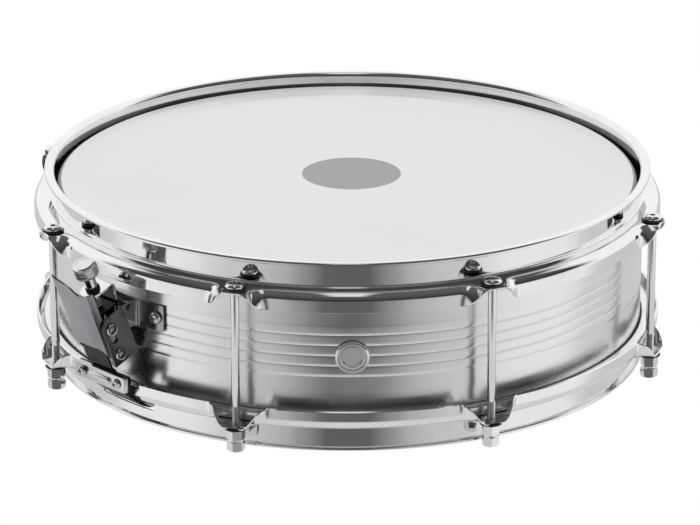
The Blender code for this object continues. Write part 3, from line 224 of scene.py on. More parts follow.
finishes = {
    "chromePlate": {"dark": (0.80, 0.80, 0.81), "light": (0.88, 0.88, 0.885), "rough": 0.055, "relief": 0.012},
    "hoopChrome": {"dark": (0.83, 0.83, 0.835), "light": (0.90, 0.90, 0.905), "rough": 0.045, "relief": 0.010},
    "nickelPlate": {"dark": (0.60, 0.59, 0.56), "light": (0.74, 0.73, 0.70), "rough": 0.15, "relief": 0.05},
    "rivetBrass": {"dark": (0.30, 0.28, 0.22), "light": (0.55, 0.52, 0.42), "rough": 0.22, "relief": 0.06},
    "satinSteel": {
        "dark": (0.13, 0.13, 0.135), "light": (0.22, 0.22, 0.225), "rough": 0.20, "relief": 0.10,
        "grain": 2600, "stretch": (1, 1, 0.08),
    },
    "footSteel": {
        "dark": (0.30, 0.30, 0.305), "light": (0.42, 0.42, 0.425), "rough": 0.12, "relief": 0.06,
        "grain": 2600, "stretch": (1, 1, 0.08),
    },
    "leverSteel": {
        "dark": (0.30, 0.30, 0.31), "light": (0.44, 0.44, 0.45), "rough": 0.18, "relief": 0.10,
        "grain": 2600, "stretch": (1, 1, 0.08),
    },
    # painted shade: near-black colour stands in for the lever's shadow and the dark front mirrored in the tension plate
    # and its nut
    "paintedShadePlate": {
        "dark": (0.004, 0.004, 0.004), "light": (0.012, 0.012, 0.012), "rough": 0.34, "relief": 0.08,
        "metallic": 0.2, "specular": 0.25,
    },
    "springSteel": {"dark": (0.50, 0.49, 0.46), "light": (0.64, 0.62, 0.59), "rough": 0.24, "relief": 0.05},
    "knurlSteel": {"dark": (0.70, 0.70, 0.70), "light": (0.84, 0.84, 0.84), "rough": 0.10, "relief": 0.02},
    "turnedAluminium": {
        "dark": (0.84, 0.84, 0.845), "light": (0.91, 0.91, 0.915), "rough": 0.24, "relief": 0.08,
        "grain": 700, "stretch": (0.05, 0.05, 6), "turned": 0.45,
    },
    "clampChrome": {"dark": (0.62, 0.62, 0.625), "light": (0.72, 0.72, 0.725), "rough": 0.12, "relief": 0.02},
    "ventRing": {"dark": (0.90, 0.90, 0.90), "light": (0.95, 0.95, 0.95), "rough": 0.09, "relief": 0.02, "metallic": 0.8},
    "blackNylon": {
        "dark": (0.008, 0.008, 0.009), "light": (0.022, 0.022, 0.023), "rough": 0.30, "relief": 0.15,
        "metallic": 0.0, "patch": 1500, "grain": 1500,
    },
    "batterFilm": {
        "dark": (0.84, 0.84, 0.84), "light": (0.87, 0.87, 0.87), "rough": 0.15, "relief": 0.04,
        "metallic": 0.0, "patch": 9, "grain": 2200, "coat": 0.35,
    },
    "snareFilm": {
        "dark": (0.74, 0.76, 0.77), "light": (0.80, 0.82, 0.83), "rough": 0.15, "relief": 0.04,
        "metallic": 0.0, "patch": 9, "grain": 2200, "coat": 0.35,
    },
    "innerFilm": {  # painted glow: its emission stands in for the daylight that comes through the film
        "dark": (0.76, 0.76, 0.76), "light": (0.82, 0.82, 0.82), "rough": 0.40, "relief": 0.04,
        "metallic": 0.0, "patch": 9, "grain": 2200, "glow": 0.13,
    },
}


def makeMaterial(name):
    finish = finishes[name]
    material = bpy.data.materials.new(name)
    material.use_nodes = True
    tree = material.node_tree
    shader = tree.nodes["Principled BSDF"]
    shader.inputs["Metallic"].default_value = finish.get("metallic", 1.0)
    shader.inputs["Specular IOR Level"].default_value = finish.get("specular", 0.5)
    shader.inputs["Coat Weight"].default_value = finish.get("coat", 0.0)
    shader.inputs["Coat Roughness"].default_value = 0.06
    wear = addNode(tree, "ShaderNodeGroup", node_tree=wearGroup)
    wear.inputs["Dark"].default_value = (*finish["dark"], 1)
    wear.inputs["Light"].default_value = (*finish["light"], 1)
    wear.inputs["Roughness"].default_value = finish["rough"]
    wear.inputs["Patch Scale"].default_value = finish.get("patch", 34)
    wear.inputs["Grain Scale"].default_value = finish.get("grain", 900)
    wear.inputs["Grain Stretch"].default_value = finish.get("stretch", (1, 1, 1))
    tree.links.new(wear.outputs["Color"], shader.inputs["Base Color"])
    tree.links.new(wear.outputs["Roughness"], shader.inputs["Roughness"])
    addBump(tree, shader, wear.outputs["Grain"], finish["relief"], 0.00004)
    if "glow" in finish:
        tree.links.new(wear.outputs["Color"], shader.inputs["Emission Color"])
        shader.inputs["Emission Strength"].default_value = finish["glow"]
    if "turned" in finish:  # stretched across the lathe's grooves
        shader.inputs["Anisotropic"].default_value = finish["turned"]
        shader.inputs["Anisotropic Rotation"].default_value = 0.25
        tangent = addNode(tree, "ShaderNodeTangent", direction_type="RADIAL", axis="Z")
        tree.links.new(tangent.outputs["Tangent"], shader.inputs["Tangent"])
    return material


def addBump(tree, shader, source, strength, distance):
    node = addNode(tree, "ShaderNodeBump")
    node.inputs["Strength"].default_value = strength
    node.inputs["Distance"].default_value = distance
    tree.links.new(source, node.inputs["Height"])
    tree.links.new(node.outputs["Normal"], shader.inputs["Normal"])


def paintDisc(material, centre, inner, outer, color):  # tints the film beyond, or within, a radius
    tree = material.node_tree
    shader = tree.nodes["Principled BSDF"]
    base = shader.inputs["Base Color"].links[0].from_socket
    disc = addNode(tree, "ShaderNodeGroup", node_tree=discGroup)
    disc.inputs["Centre"].default_value = centre
    disc.inputs["Inner"].default_value = inner
    disc.inputs["Outer"].default_value = outer
    mix = addNode(tree, "ShaderNodeMix", data_type="RGBA")
    mix.inputs["B"].default_value = (*color, 1)
    tree.links.new(disc.outputs["Mask"], mix.inputs["Factor"])
    tree.links.new(base, mix.inputs["A"])
    tree.links.new(mix.outputs["Result"], shader.inputs["Base Color"])


def makeStrapWeave():
    material = bpy.data.materials.new("wovenStrap")
    material.use_nodes = True
    tree = material.node_tree
    shader = tree.nodes["Principled BSDF"]
    coords = addNode(tree, "ShaderNodeTexCoord")
    waves = []
    for axis in ("X", "Y"):
        wave = addNode(tree, "ShaderNodeTexWave", bands_direction=axis)
        wave.inputs["Scale"].default_value = 420
        tree.links.new(coords.outputs["Object"], wave.inputs["Vector"])
        waves.append(wave.outputs["Fac"])
    weave = addMath(tree, "MULTIPLY", waves[0], waves[1])
    mix = addNode(tree, "ShaderNodeMix", data_type="RGBA")
    mix.inputs["A"].default_value = (0.012, 0.012, 0.013, 1)
    mix.inputs["B"].default_value = (0.05, 0.05, 0.053, 1)
    tree.links.new(weave, mix.inputs["Factor"])
    tree.links.new(mix.outputs["Result"], shader.inputs["Base Color"])
    shader.inputs["Roughness"].default_value = 0.55
    shader.inputs["Sheen Weight"].default_value = 0.2
    addBump(tree, shader, weave, 0.3, 0.0001)
    return material


materials = {name: makeMaterial(name) for name in finishes}
materials["strapWeave"] = makeStrapWeave()
paintDisc(materials["batterFilm"], (0.0017, -0.0018, 0), 0.0296, 0.0294, (0.25, 0.25, 0.255))
# painted shade: the film's collar beyond this radius is darkened to stand for the shaded gap between the bearing edge
# and the hoop
paintDisc(materials["batterFilm"], (0, 0, 0), 0.1700, 0.1708, (0.05, 0.05, 0.05))
print("materials ready")


# making pieces

def finishPiece(name, bm, body, nodes, finish, matrix=toRow, bevel=0, smooth=35):
    bmesh.ops.transform(bm, matrix=matrix, verts=bm.verts)
    bmesh.ops.recalc_face_normals(bm, faces=bm.faces)
    mesh = bpy.data.meshes.new(name)
    bm.to_mesh(mesh)
    bm.free()
    for label in finish.split():
        mesh.materials.append(materials[label])
    mesh.shade_smooth()
    mesh.set_sharp_from_angle(angle=math.radians(smooth))
    piece = bpy.data.objects.new(name, mesh)
    bpy.context.scene.collection.objects.link(piece)
    if bevel:
        edge = piece.modifiers.new("edges", "BEVEL")
        edge.width = bevel
        edge.segments = 2
        edge.limit_method = "ANGLE"
        edge.angle_limit = math.radians(40)
        edge.use_clamp_overlap = True
        edge.harden_normals = True
    if body:
        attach(piece, body)
    if nodes:
        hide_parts(*nodes)
    return piece


def pulledVerts(result):
    return [item for item in result["geom"] if isinstance(item, bmesh.types.BMVert)]


def addTurned(bm, profile, steps, matrix=None):  # spins a closed (radius, z) outline round z
    before = set(bm.verts)
    line = [bm.verts.new((radius, 0, z)) for radius, z in profile]
    pairs = zip(line, line[1:] + line[:1])
    edges = [bm.edges.new(pair) for pair in pairs if max(pair[0].co.x, pair[1].co.x) > 0]
    bmesh.ops.spin(
        bm, geom=line + edges, cent=(0, 0, 0), axis=(0, 0, 1),
        angle=2 * math.pi, steps=steps, use_merge=True,
    )
    made = [vert for vert in bm.verts if vert not in before]
    bmesh.ops.remove_doubles(bm, verts=made, dist=1e-7)
    if matrix is not None:
        kept = [vert for vert in bm.verts if vert not in before]
        bmesh.ops.transform(bm, matrix=matrix, verts=kept)


def addPrism(bm, outline, place, along, cuts=0):  # pulls an outline out; cuts divide its sides
    face = bm.faces.new([bm.verts.new(place(a, b)) for a, b in outline])
    tops = pulledVerts(bmesh.ops.extrude_face_region(bm, geom=[face]))
    bmesh.ops.translate(bm, vec=along, verts=tops)
    if cuts:
        ends = set(tops)
        rungs = [edge for vert in tops for edge in vert.link_edges if edge.other_vert(vert) not in ends]
        bmesh.ops.subdivide_edges(bm, edges=rungs, cuts=cuts)
    return tops


def sidePrism(bm, outline, low, high, cuts=0):  # outline in x and z
    return addPrism(bm, outline, lambda x, z: (x, low, z), (0, high - low, 0), cuts)


def frontPrism(bm, outline, low, high, cuts=0):  # outline in y and z
    return addPrism(bm, outline, lambda y, z: (low, y, z), (high - low, 0, 0), cuts)


def levelPrism(bm, outline, low, high, cuts=0):  # outline in x and y
    return addPrism(bm, outline, lambda x, y: (x, y, low), (0, 0, high - low), cuts)


def rectangle(lowA, highA, lowB, highB):
    return [(lowA, lowB), (highA, lowB), (highA, highB), (lowA, highB)]


def bevelEdges(bm, edges, offset, segments=5):
    return bmesh.ops.bevel(
        bm, geom=edges, offset=offset, offset_type="OFFSET", segments=segments,
        profile=0.5, affect="EDGES", material=-1, clamp_overlap=True,
    )


def roundPillars(bm, axis, offset, segments=5, keep=None):  # rounds the edges that run along one axis
    edges = []
    for edge in bm.edges:
        run = (edge.verts[1].co - edge.verts[0].co).normalized()
        if abs(run[axis]) > 0.999 and (keep is None or keep(edge.verts[0].co)):
            edges.append(edge)
    bevelEdges(bm, edges, offset, segments)


def foldedSheet(path, radii, place, along, cuts=0):  # a line pulled out to a sheet and rounded at its folds
    bm = bmesh.new()
    line = [bm.verts.new(place(a, b)) for a, b in path]
    edges = [bm.edges.new(pair) for pair in zip(line, line[1:])]
    tops = pulledVerts(bmesh.ops.extrude_edge_only(bm, edges=edges))
    bmesh.ops.translate(bm, vec=along, verts=tops)
    ends = set(tops)
    folds = []
    for index in range(1, len(path) - 1):
        if not radii[index]:
            continue
        here = Vector(path[index])
        turn = (here - Vector(path[index - 1])).angle(Vector(path[index + 1]) - here)
        rung = [edge for edge in line[index].link_edges if edge.other_vert(line[index]) in ends][0]
        folds.append((rung, radii[index] * math.tan(turn / 2)))
    for rung, offset in folds:
        bevelEdges(bm, [rung], offset, 7)
    if cuts:
        run = Vector(along).normalized()
        rungs = [
            edge for edge in bm.edges
            if abs((edge.verts[1].co - edge.verts[0].co).normalized().dot(run)) > 0.9999
        ]
        bmesh.ops.subdivide_edges(bm, edges=rungs, cuts=cuts)
    return bm


def copyTo(bm, source, matrix=None):  # adds a copy of another bmesh
    before = set(bm.verts)
    mesh = bpy.data.meshes.new("copy")
    source.to_mesh(mesh)
    bm.from_mesh(mesh)
    bpy.data.meshes.remove(mesh)
    if matrix is not None:
        bmesh.ops.transform(bm, matrix=matrix, verts=[vert for vert in bm.verts if vert not in before])


def worked(bm, thickness=0, cutters=(), operation="DIFFERENCE"):  # gives a sheet its wall, then cuts it
    tools = []
    for shape in (bm, *cutters):
        bmesh.ops.recalc_face_normals(shape, faces=shape.faces)
        mesh = bpy.data.meshes.new("work")
        shape.to_mesh(mesh)
        shape.free()
        tools.append(bpy.data.objects.new("work", mesh))
        bpy.context.scene.collection.objects.link(tools[-1])
    work = tools[0]
    if thickness:
        wall = work.modifiers.new("wall", "SOLIDIFY")
        wall.thickness = thickness
        wall.offset = 0
        wall.use_even_offset = True
    for tool in tools[1:]:
        modifier = work.modifiers.new("cut", "BOOLEAN")
        modifier.operation = operation
        modifier.solver = "EXACT"
        modifier.object = tool
    bpy.context.view_layer.update()
    evaluated = work.evaluated_get(bpy.context.evaluated_depsgraph_get())
    result = bmesh.new()
    result.from_mesh(evaluated.to_mesh())
    for tool in tools:
        bpy.data.objects.remove(tool, do_unlink=True)
    return result


def arc(centre, radius, start, end, steps):
    points = []
    for index in range(steps + 1):
        angle = math.radians(start + (end - start) * index / steps)
        points.append((centre[0] + radius * math.cos(angle), centre[1] + radius * math.sin(angle)))
    return points


def filleted(points, radii, steps):  # rounds the corners of a profile before it is spun
    made = [points[0]]
    for index in range(1, len(points) - 1):
        here = Vector(points[index])
        before = Vector(points[index - 1]) - here
        after = Vector(points[index + 1]) - here
        half = before.angle(after) / 2
        cut = min(radii[index] / math.tan(half), before.length * 0.49, after.length * 0.49)
        one = here + before.normalized() * cut
        two = here + after.normalized() * cut
        for step in range(steps + 1):
            share = step / steps
            mixed = one * (1 - share) ** 2 + here * 2 * share * (1 - share) + two * share ** 2
            made.append((mixed.x, mixed.y))
    return made + [points[-1]]


def wallOutline(path, thickness):  # both sides of a bent sheet with slightly rounded ends
    points = [Vector(point) for point in path]
    left, right = [], []
    for index, point in enumerate(points):
        before = (point - points[index - 1]).normalized() if index else None
        after = (points[index + 1] - point).normalized() if index + 1 < len(points) else None
        side = before or after
        along = (side + (after or before)).normalized()
        normal = Vector((-along.y, along.x))
        offset = normal * thickness / 2 / max(0.3, normal.dot(Vector((-side.y, side.x))))
        left.append(point + offset)
        right.append(point - offset)
    first = points[0] + (points[0] - points[1]).normalized() * thickness * 0.35
    final = points[-1] + (points[-1] - points[-2]).normalized() * thickness * 0.35
    return [(point.x, point.y) for point in [first, *left, final, *right[::-1]]]


def smoothStep(value):
    value = max(0.0, min(1.0, value))
    return value * value * (3 - 2 * value)


# shell

def makeShell():
    spec = {"steps": 256, "beads": 5, "pitch": 0.00617, "middle": 0.0602, "rise": 0.00030, "bedHalf": 0.042, "bed": 0.0014}
    top = spec["middle"] + spec["beads"] * spec["pitch"] / 2
    roll = (neckRadius - rollRadius, shellTop - rollRadius)
    neckLow = shellTop - rollRadius - 0.0040
    upper = arc(roll, rollRadius, 150, 0, 10)
    corners = [upper[-1], (neckRadius, neckLow), (shellRadius, neckLow - 0.0068), (shellRadius, top)]
    shoulder = filleted(corners, [0, 0.005, 0.006, 0], 6)
    profile = upper + shoulder[1:]
    for bead in range(spec["beads"]):
        for step in range(1, 13):
            share = step / 12
            rise = spec["rise"] * (1 - (2 * share - 1) ** 4)
            profile.append((shellRadius + rise, top - (bead + share) * spec["pitch"]))
    profile.append((shellRadius, top - spec["beads"] * spec["pitch"] - 0.0005))
    profile += [(radius, drumHeight - z) for radius, z in reversed(upper + shoulder[1:-1])]
    inside = [(radius - shellWall, z) for radius, z in profile[10:-10:3]]
    bm = bmesh.new()
    addTurned(bm, profile + inside[::-1], spec["steps"])
    for vert in bm.verts:  # snare beds in the lower edge
        if vert.co.z < 0.011 and abs(vert.co.y) < spec["bedHalf"]:
            vert.co.z += spec["bed"] * (0.5 + 0.5 * math.cos(math.pi * vert.co.y / spec["bedHalf"]))
    hole = bmesh.new()
    place = standing(polar(ventAngle, shellRadius - 0.006, ventZ), polar(ventAngle, 1, 0))
    addTurned(hole, [(0, 0.012), (0.0073, 0.012), (0.0073, 0), (0, 0)], 48, place)
    bm = worked(bm, 0, [hole])
    finishPiece("shellSkin", bm, "drum", ["shell"], "turnedAluminium", smooth=28)


makeShell()
print("shell ready")


# heads

def makeHeads():
    spec = {"steps": 224, "inner": 0.1770, "outer": 0.1825, "top": 0.0967, "low": 0.0909, "film": 0.0003}
    film = spec["film"]
    flat = neckRadius - rollRadius
    outside = neckRadius + 0.0006
    rim = arc((flat, headTop - rollRadius - film), outside - flat, 90, 0, 8)
    rim[0] = (flat, headTop)
    profile = [(0, headTop), (0.09, headTop), (0.155, headTop)] + rim
    profile += [(outside, 0.0990), (spec["inner"], 0.0945)]
    for radius, z, start in (
        (spec["inner"], spec["top"], 180), (spec["outer"], spec["top"], 90),
        (spec["outer"], spec["low"], 0), (spec["inner"], spec["low"], -90),
    ):
        inward = 0.0009
        centre = (radius + inward if radius == spec["inner"] else radius - inward,
                  z + inward if z == spec["low"] else z - inward)
        profile += arc(centre, inward, start, start - 90, 3)
    profile.append((outside - film, 0.0986))
    profile += [(radius - film * 0.7, z - film * 0.7) for radius, z in reversed(rim)]
    profile.append((0, headTop - film))
    for name, node, finish, slotName in (
        ("batterSkin", "batter_head", "batterFilm turnedAluminium innerFilm", "batter_film"),
        ("snareSkin", "snare_head", "snareFilm turnedAluminium innerFilm", "snare_film"),
    ):
        bm = bmesh.new()
        addTurned(bm, profile, spec["steps"])
        for face in bm.faces:
            middle = face.calc_center_median()
            across = math.hypot(middle.x, middle.y)
            if across > spec["inner"]:
                face.material_index = 1
            # the inner faces take innerFilm, whose emission is a painted glow
            elif across < flat and middle.z < headTop - film / 2:
                face.material_index = 2
        if node == "snare_head":
            bmesh.ops.scale(bm, vec=(1, 1, -1), verts=bm.verts)
            bmesh.ops.translate(bm, vec=(0, 0, drumHeight), verts=bm.verts)
        finishPiece(name, bm, "drum", [node], finish, smooth=30)


makeHeads()
print("heads ready")


# hoops

def hoopSection(lift, isUpper):  # the sheet's section, from the lip down to a hanging skirt or a level ear
    spec = {"lip": 0.1802, "lipDrop": 0.0018, "flatLip": 0.1783, "bend": 0.0055, "height": 0.0270}
    half = hoopSheet / 2
    ledge = -ledgeDepth - half
    bendStart = skirtOuter - half - spec["bend"]
    skirt = spec["height"] - ledgeDepth - half - spec["bend"]
    lip, radii = [(spec["flatLip"] - half, -0.0014), (0.1770, -half)], [0, 0.0016]
    if isUpper:
        lip, radii = [(spec["lip"] - half, -spec["lipDrop"]), (spec["lip"] - half, -half)], [0, 0.0010]
    path = filleted(
        lip + [(hoopWall, -half), (hoopWall, ledge), (bendStart, ledge)], radii + [0.0024, 0.0022, 0], 6,
    )
    droop = math.radians(90) * (1 - lift)
    radius, z = bendStart, ledge
    parts = 8
    stride = spec["bend"] * math.pi / 2 / parts
    for index in range(parts):
        angle = droop * (index + 0.5) / parts
        radius += stride * math.cos(angle)
        z -= stride * math.sin(angle)
        path.append((radius, z))
    for share in (0.5, 1):
        path.append((radius + skirt * share * math.cos(droop), z - skirt * share * math.sin(droop)))
    return wallOutline(path, hoopSheet)


def earLift(offset):  # offset along the rod circle from the rod's middle
    flat, shoulder = 0.0050, 0.0190
    return 1 - smoothStep((abs(offset) - flat) / (shoulder - flat))


def hoopBmesh(isUpper):
    steps = 960
    bm = bmesh.new()
    station = bm.verts.layers.int.new("station")
    line = [bm.verts.new((radius, 0, z)) for radius, z in hoopSection(0, isUpper)]
    for index, vert in enumerate(line):
        vert[station] = index
    edges = [bm.edges.new(pair) for pair in zip(line, line[1:] + line[:1])]
    bmesh.ops.spin(
        bm, geom=line + edges, cent=(0, 0, 0), axis=(0, 0, 1),
        angle=2 * math.pi, steps=steps, use_merge=True,
    )
    sections = {}
    for vert in bm.verts:  # each rod lifts the skirt beside it into an ear
        turn = math.atan2(vert.co.y, vert.co.x)
        away = (turn + math.pi / 8) % (math.pi / 4) - math.pi / 8
        lift = round(earLift(away * rodCircle), 5)
        if lift > 0:
            if lift not in sections:
                sections[lift] = hoopSection(lift, isUpper)
            radius, z = sections[lift][vert[station]]
            vert.co = (radius * math.cos(turn), radius * math.sin(turn), z)
    bmesh.ops.rotate(
        bm, cent=(0, 0, 0), verts=bm.verts,
        matrix=Matrix.Rotation(math.radians(180 + rodAngles[0]), 3, "Z"),
    )
    if isUpper:
        bmesh.ops.translate(bm, vec=(0, 0, drumHeight), verts=bm.verts)
    else:
        bmesh.ops.scale(bm, vec=(1, 1, -1), verts=bm.verts)
    return bm


def gateCutter(angle):
    spec = {"half": 7.0, "sill": 0.0080, "corner": 0.0016, "top": 0.034}
    reach = math.radians(spec["half"]) * 0.183
    bm = bmesh.new()
    frontPrism(bm, rectangle(-reach, reach, spec["sill"], spec["top"]), 0.168, 0.194)
    roundPillars(bm, 0, spec["corner"], 6, lambda point: point.z < 0.01)
    turned = Matrix.Rotation(math.radians(180 + angle), 4, "Z")
    bmesh.ops.transform(bm, matrix=turned, verts=bm.verts)
    return bm


def makeHoops():
    finishPiece("topHoopRim", hoopBmesh(True), "drum", ["top_hoop"], "hoopChrome", smooth=40)
    lower = worked(hoopBmesh(False), 0, [gateCutter(0), gateCutter(180)])
    finishPiece("bottomHoopRim", lower, "drum", ["bottom_hoop"], "hoopChrome", smooth=40)


makeHoops()
print("hoops ready")


# rods, nuts and washers

def addThread(bm, radius, depth, pitch, low, high, matrix=None):  # a section wound up a helix
    before = set(bm.verts)
    root = radius - depth
    line = [
        bm.verts.new((across, 0, low + share * pitch))
        for share, across in ((0, root), (0.35, radius), (0.55, radius), (1, root))
    ]
    edges = [bm.edges.new(pair) for pair in zip(line, line[1:])]
    turns = int((high - low) / pitch)
    sides = 20
    bmesh.ops.spin(
        bm, geom=line + edges, cent=(0, 0, 0), axis=(0, 0, 1), dvec=(0, 0, pitch / sides),
        angle=2 * math.pi * turns, steps=turns * sides, use_merge=False,
    )
    made = [vert for vert in bm.verts if vert not in before]
    bmesh.ops.remove_doubles(bm, verts=made, dist=1e-6)
    made = [vert for vert in bm.verts if vert not in before]
    rims = [edge for edge in {edge for vert in made for edge in vert.link_edges} if edge.is_boundary]
    bmesh.ops.holes_fill(bm, edges=rims, sides=0)
    if matrix is not None:
        bmesh.ops.transform(bm, matrix=matrix, verts=made)


def placeRound(names, model, bodies, nodes, finish, smooth=35, turns=(0,) * 8):  # one copy at each rod
    for name, body, node, angle, turn in zip(names, bodies, nodes, rodAngles, turns):
        bm = model.copy()
        place = Matrix.Translation(polar(angle, rodCircle, 0)) @ Matrix.Rotation(math.radians(turn), 4, "Z")
        bmesh.ops.transform(bm, matrix=place, verts=bm.verts)
        finishPiece(name, bm, body, [node], finish, smooth=smooth)
    model.free()


def makeRods():
    spec = {"radius": 0.0025, "headZ": 0.0998, "endZ": 0.0005, "threadTop": 0.028, "pitch": 0.00106, "depth": 0.0004}
    headZ, core = spec["headZ"], spec["radius"] - spec["depth"]
    profile = [
        (0, headZ + 0.0014), (0.0014, headZ + 0.0014), (0.0017, headZ + 0.0022),
        (0.0034, headZ + 0.0022), (0.0047, headZ + 0.0018), (0.0053, headZ + 0.0011),
        (0.0055, headZ + 0.0004), (0.0054, headZ), (spec["radius"], headZ),
        (spec["radius"], spec["threadTop"] + 0.0006), (core, spec["threadTop"]), (core, spec["endZ"] + 0.0004),
        (core - 0.0004, spec["endZ"]), (0, spec["endZ"]),
    ]
    model = bmesh.new()
    addTurned(model, profile, 28)
    addThread(model, spec["radius"] - 0.00002, spec["depth"], spec["pitch"], 0.0009, spec["threadTop"])
    numbers = range(1, 9)
    placeRound(
        [f"rod{number}" for number in numbers], model, ["drum"] * 8,
        [f"tension_rod_{number}" for number in numbers], "chromePlate",
    )


def makeNuts():
    spec = {"corner": 0.0053, "low": 0.0012, "top": 0.0142, "groove": 0.0012, "depth": 0.0009, "bore": 0.0026}
    corner, low, top, bore = spec["corner"], spec["low"], spec["top"], spec["bore"]
    middle = (low + top) / 2
    outside = arc((corner + 0.0001, middle), spec["depth"], 90, 270, 8)
    profile = [
        (bore, top), (corner - 0.0009, top), (corner + 0.0001, top - 0.0006), *outside,
        (corner + 0.0001, low + 0.0012), (corner - 0.0006, low + 0.0004), (corner - 0.0014, low), (bore, low),
    ]
    turned = bmesh.new()
    addTurned(turned, profile, 48)
    hexagon = bmesh.new()
    levelPrism(hexagon, arc((0, 0), corner, 0, 300, 5), low - 0.001, top + 0.001)
    numbers = range(1, 9)
    placeRound(
        [f"nut{number}" for number in numbers], worked(turned, 0, [hexagon], "INTERSECT"),
        [f"nut_{number}" for number in numbers], [f"tension_nut_{number}" for number in numbers],
        "chromePlate", 25, (26.5, -7.5, 10, -20, 5, 30, -12, 18),
    )


def makeWashers():
    spec = {"outer": 0.0065, "bore": 0.0029, "thick": 0.0008, "round": 0.0002}
    numbers = range(1, 9)
    for row, low in (("top", 0.0987), ("bottom", 0.0145)):
        high = low + spec["thick"]
        rim = arc((spec["outer"] - spec["round"], high - spec["round"]), spec["round"], 90, 0, 3)
        rim += arc((spec["outer"] - spec["round"], low + spec["round"]), spec["round"], 0, -90, 3)
        model = bmesh.new()
        addTurned(model, [(spec["bore"], high), *rim, (spec["bore"], low)], 40)
        placeRound(
            [f"{row}Washer{number}" for number in numbers], model, ["drum"] * 8,
            [f"{row}_washer_{number}" for number in numbers], "blackNylon",
        )


makeRods()
makeNuts()
makeWashers()
print("rods ready")


# vent

def makeVent():
    spec = {"bore": 0.00585, "flange": 0.00975, "rise": 0.0020, "inside": -0.0028, "flare": 0.0085}
    bore, rise, flange, inside = spec["bore"], spec["rise"], spec["flange"], spec["inside"]
    profile = [
        (bore, inside), (bore, rise * 0.4), (bore + 0.00015, rise * 0.62), (bore + 0.0005, rise * 0.8),
        (bore + 0.0009, rise * 0.76), (bore + 0.0012, rise * 0.58), (bore + 0.0014, rise * 0.5),
        (bore + 0.0016, rise * 0.62), (bore + 0.0020, rise * 0.94), (bore + 0.0025, rise), (bore + 0.0030, rise * 0.92),
        (flange - 0.0004, rise * 0.62), (flange - 0.0001, rise * 0.3), (flange, 0),
        (0.0071, 0), (0.0071, inside + 0.0008), (spec["flare"], inside + 0.0006), (spec["flare"], inside),
    ]
    bm = bmesh.new()
    addTurned(bm, profile, 72, standing(polar(ventAngle, footRadius, ventZ), polar(ventAngle, 1, 0)))
    finishPiece("ventEyelet", bm, "drum", ["vent_grommet"], "ventRing")


makeVent()
print("vent ready")


# screws

def screwModel(shank, length, radius, height):  # domed head with a crossed recess, its seat at z 0
    bm = bmesh.new()
    addTurned(bm, [
        (0, height * 0.45), (radius * 0.26, height * 0.5), (radius * 0.30, height),
        (radius * 0.62, height * 0.95), (radius * 0.88, height * 0.66), (radius, height * 0.2),
        (radius, 0), (shank, 0), (shank, -length), (0, -length),
    ], 32)
    wide, reach = radius * 0.11, radius * 0.62
    for turn in (20, 110):
        slot = bmesh.new()
        levelPrism(slot, rectangle(-wide, wide, -reach, reach), height * 0.4, height * 1.5)
        bmesh.ops.rotate(slot, cent=(0, 0, 0), matrix=Matrix.Rotation(math.radians(turn), 3, "Z"), verts=slot.verts)
        bm = worked(bm, 0, [slot])
    return bm


def placeScrew(name, model, nodes, body, place, row):
    bm = model.copy()
    bmesh.ops.transform(bm, matrix=place, verts=bm.verts)
    finishPiece(name, bm, body, nodes, "nickelPlate", row, smooth=32)


def makeMountScrews():
    footMiddle = (footLow + footHigh) / 2
    screw = screwModel(0.0020, 0.0085, 0.0038, 0.0026)
    nut = bmesh.new()
    addTurned(nut, [(0, -0.0032), (0.0039, -0.0032), (0.0039, -0.0062), (0, -0.0062)], 6)
    for index, (node, angle, z, seat) in enumerate((
        ("strainer_mount_screw_1", -8.8, footMiddle, sheet), ("strainer_mount_screw_2", 8.8, footMiddle, sheet),
        ("butt_mount_screw_1", 176.7, 0.0620, buttSheet), ("butt_mount_screw_2", 183.3, 0.0620, buttSheet),
    )):
        place = standing(polar(angle, footRadius + seat + fitGap, z), polar(angle, 1, 0))
        placeScrew(f"mountScrew{index + 1}", screw, [node], "drum", place, toRow)
        placeScrew(f"mountNut{index + 1}", nut, [], "drum", place, toRow)
    screw.free()
    nut.free()


def makeClampScrews():
    seat = clampFace + 0.0026 + fitGap
    screw = screwModel(0.00175, seat - clampX + 0.0020, 0.0031, 0.0020)
    for side, body, row in (("strainer", "snare_clamp", upright), ("butt", "drum", toRow)):
        for index, y in enumerate((-clampScrewY, clampScrewY)):
            name, node = f"{side}ClampScrew{index + 1}", f"{side}_clamp_screw_{index + 1}"
            placeScrew(name, screw, [node], body, standing((seat, y, clampMiddle), (1, 0, 0)), row)
    screw.free()


makeMountScrews()
makeClampScrews()
print("screws ready")


# strainer

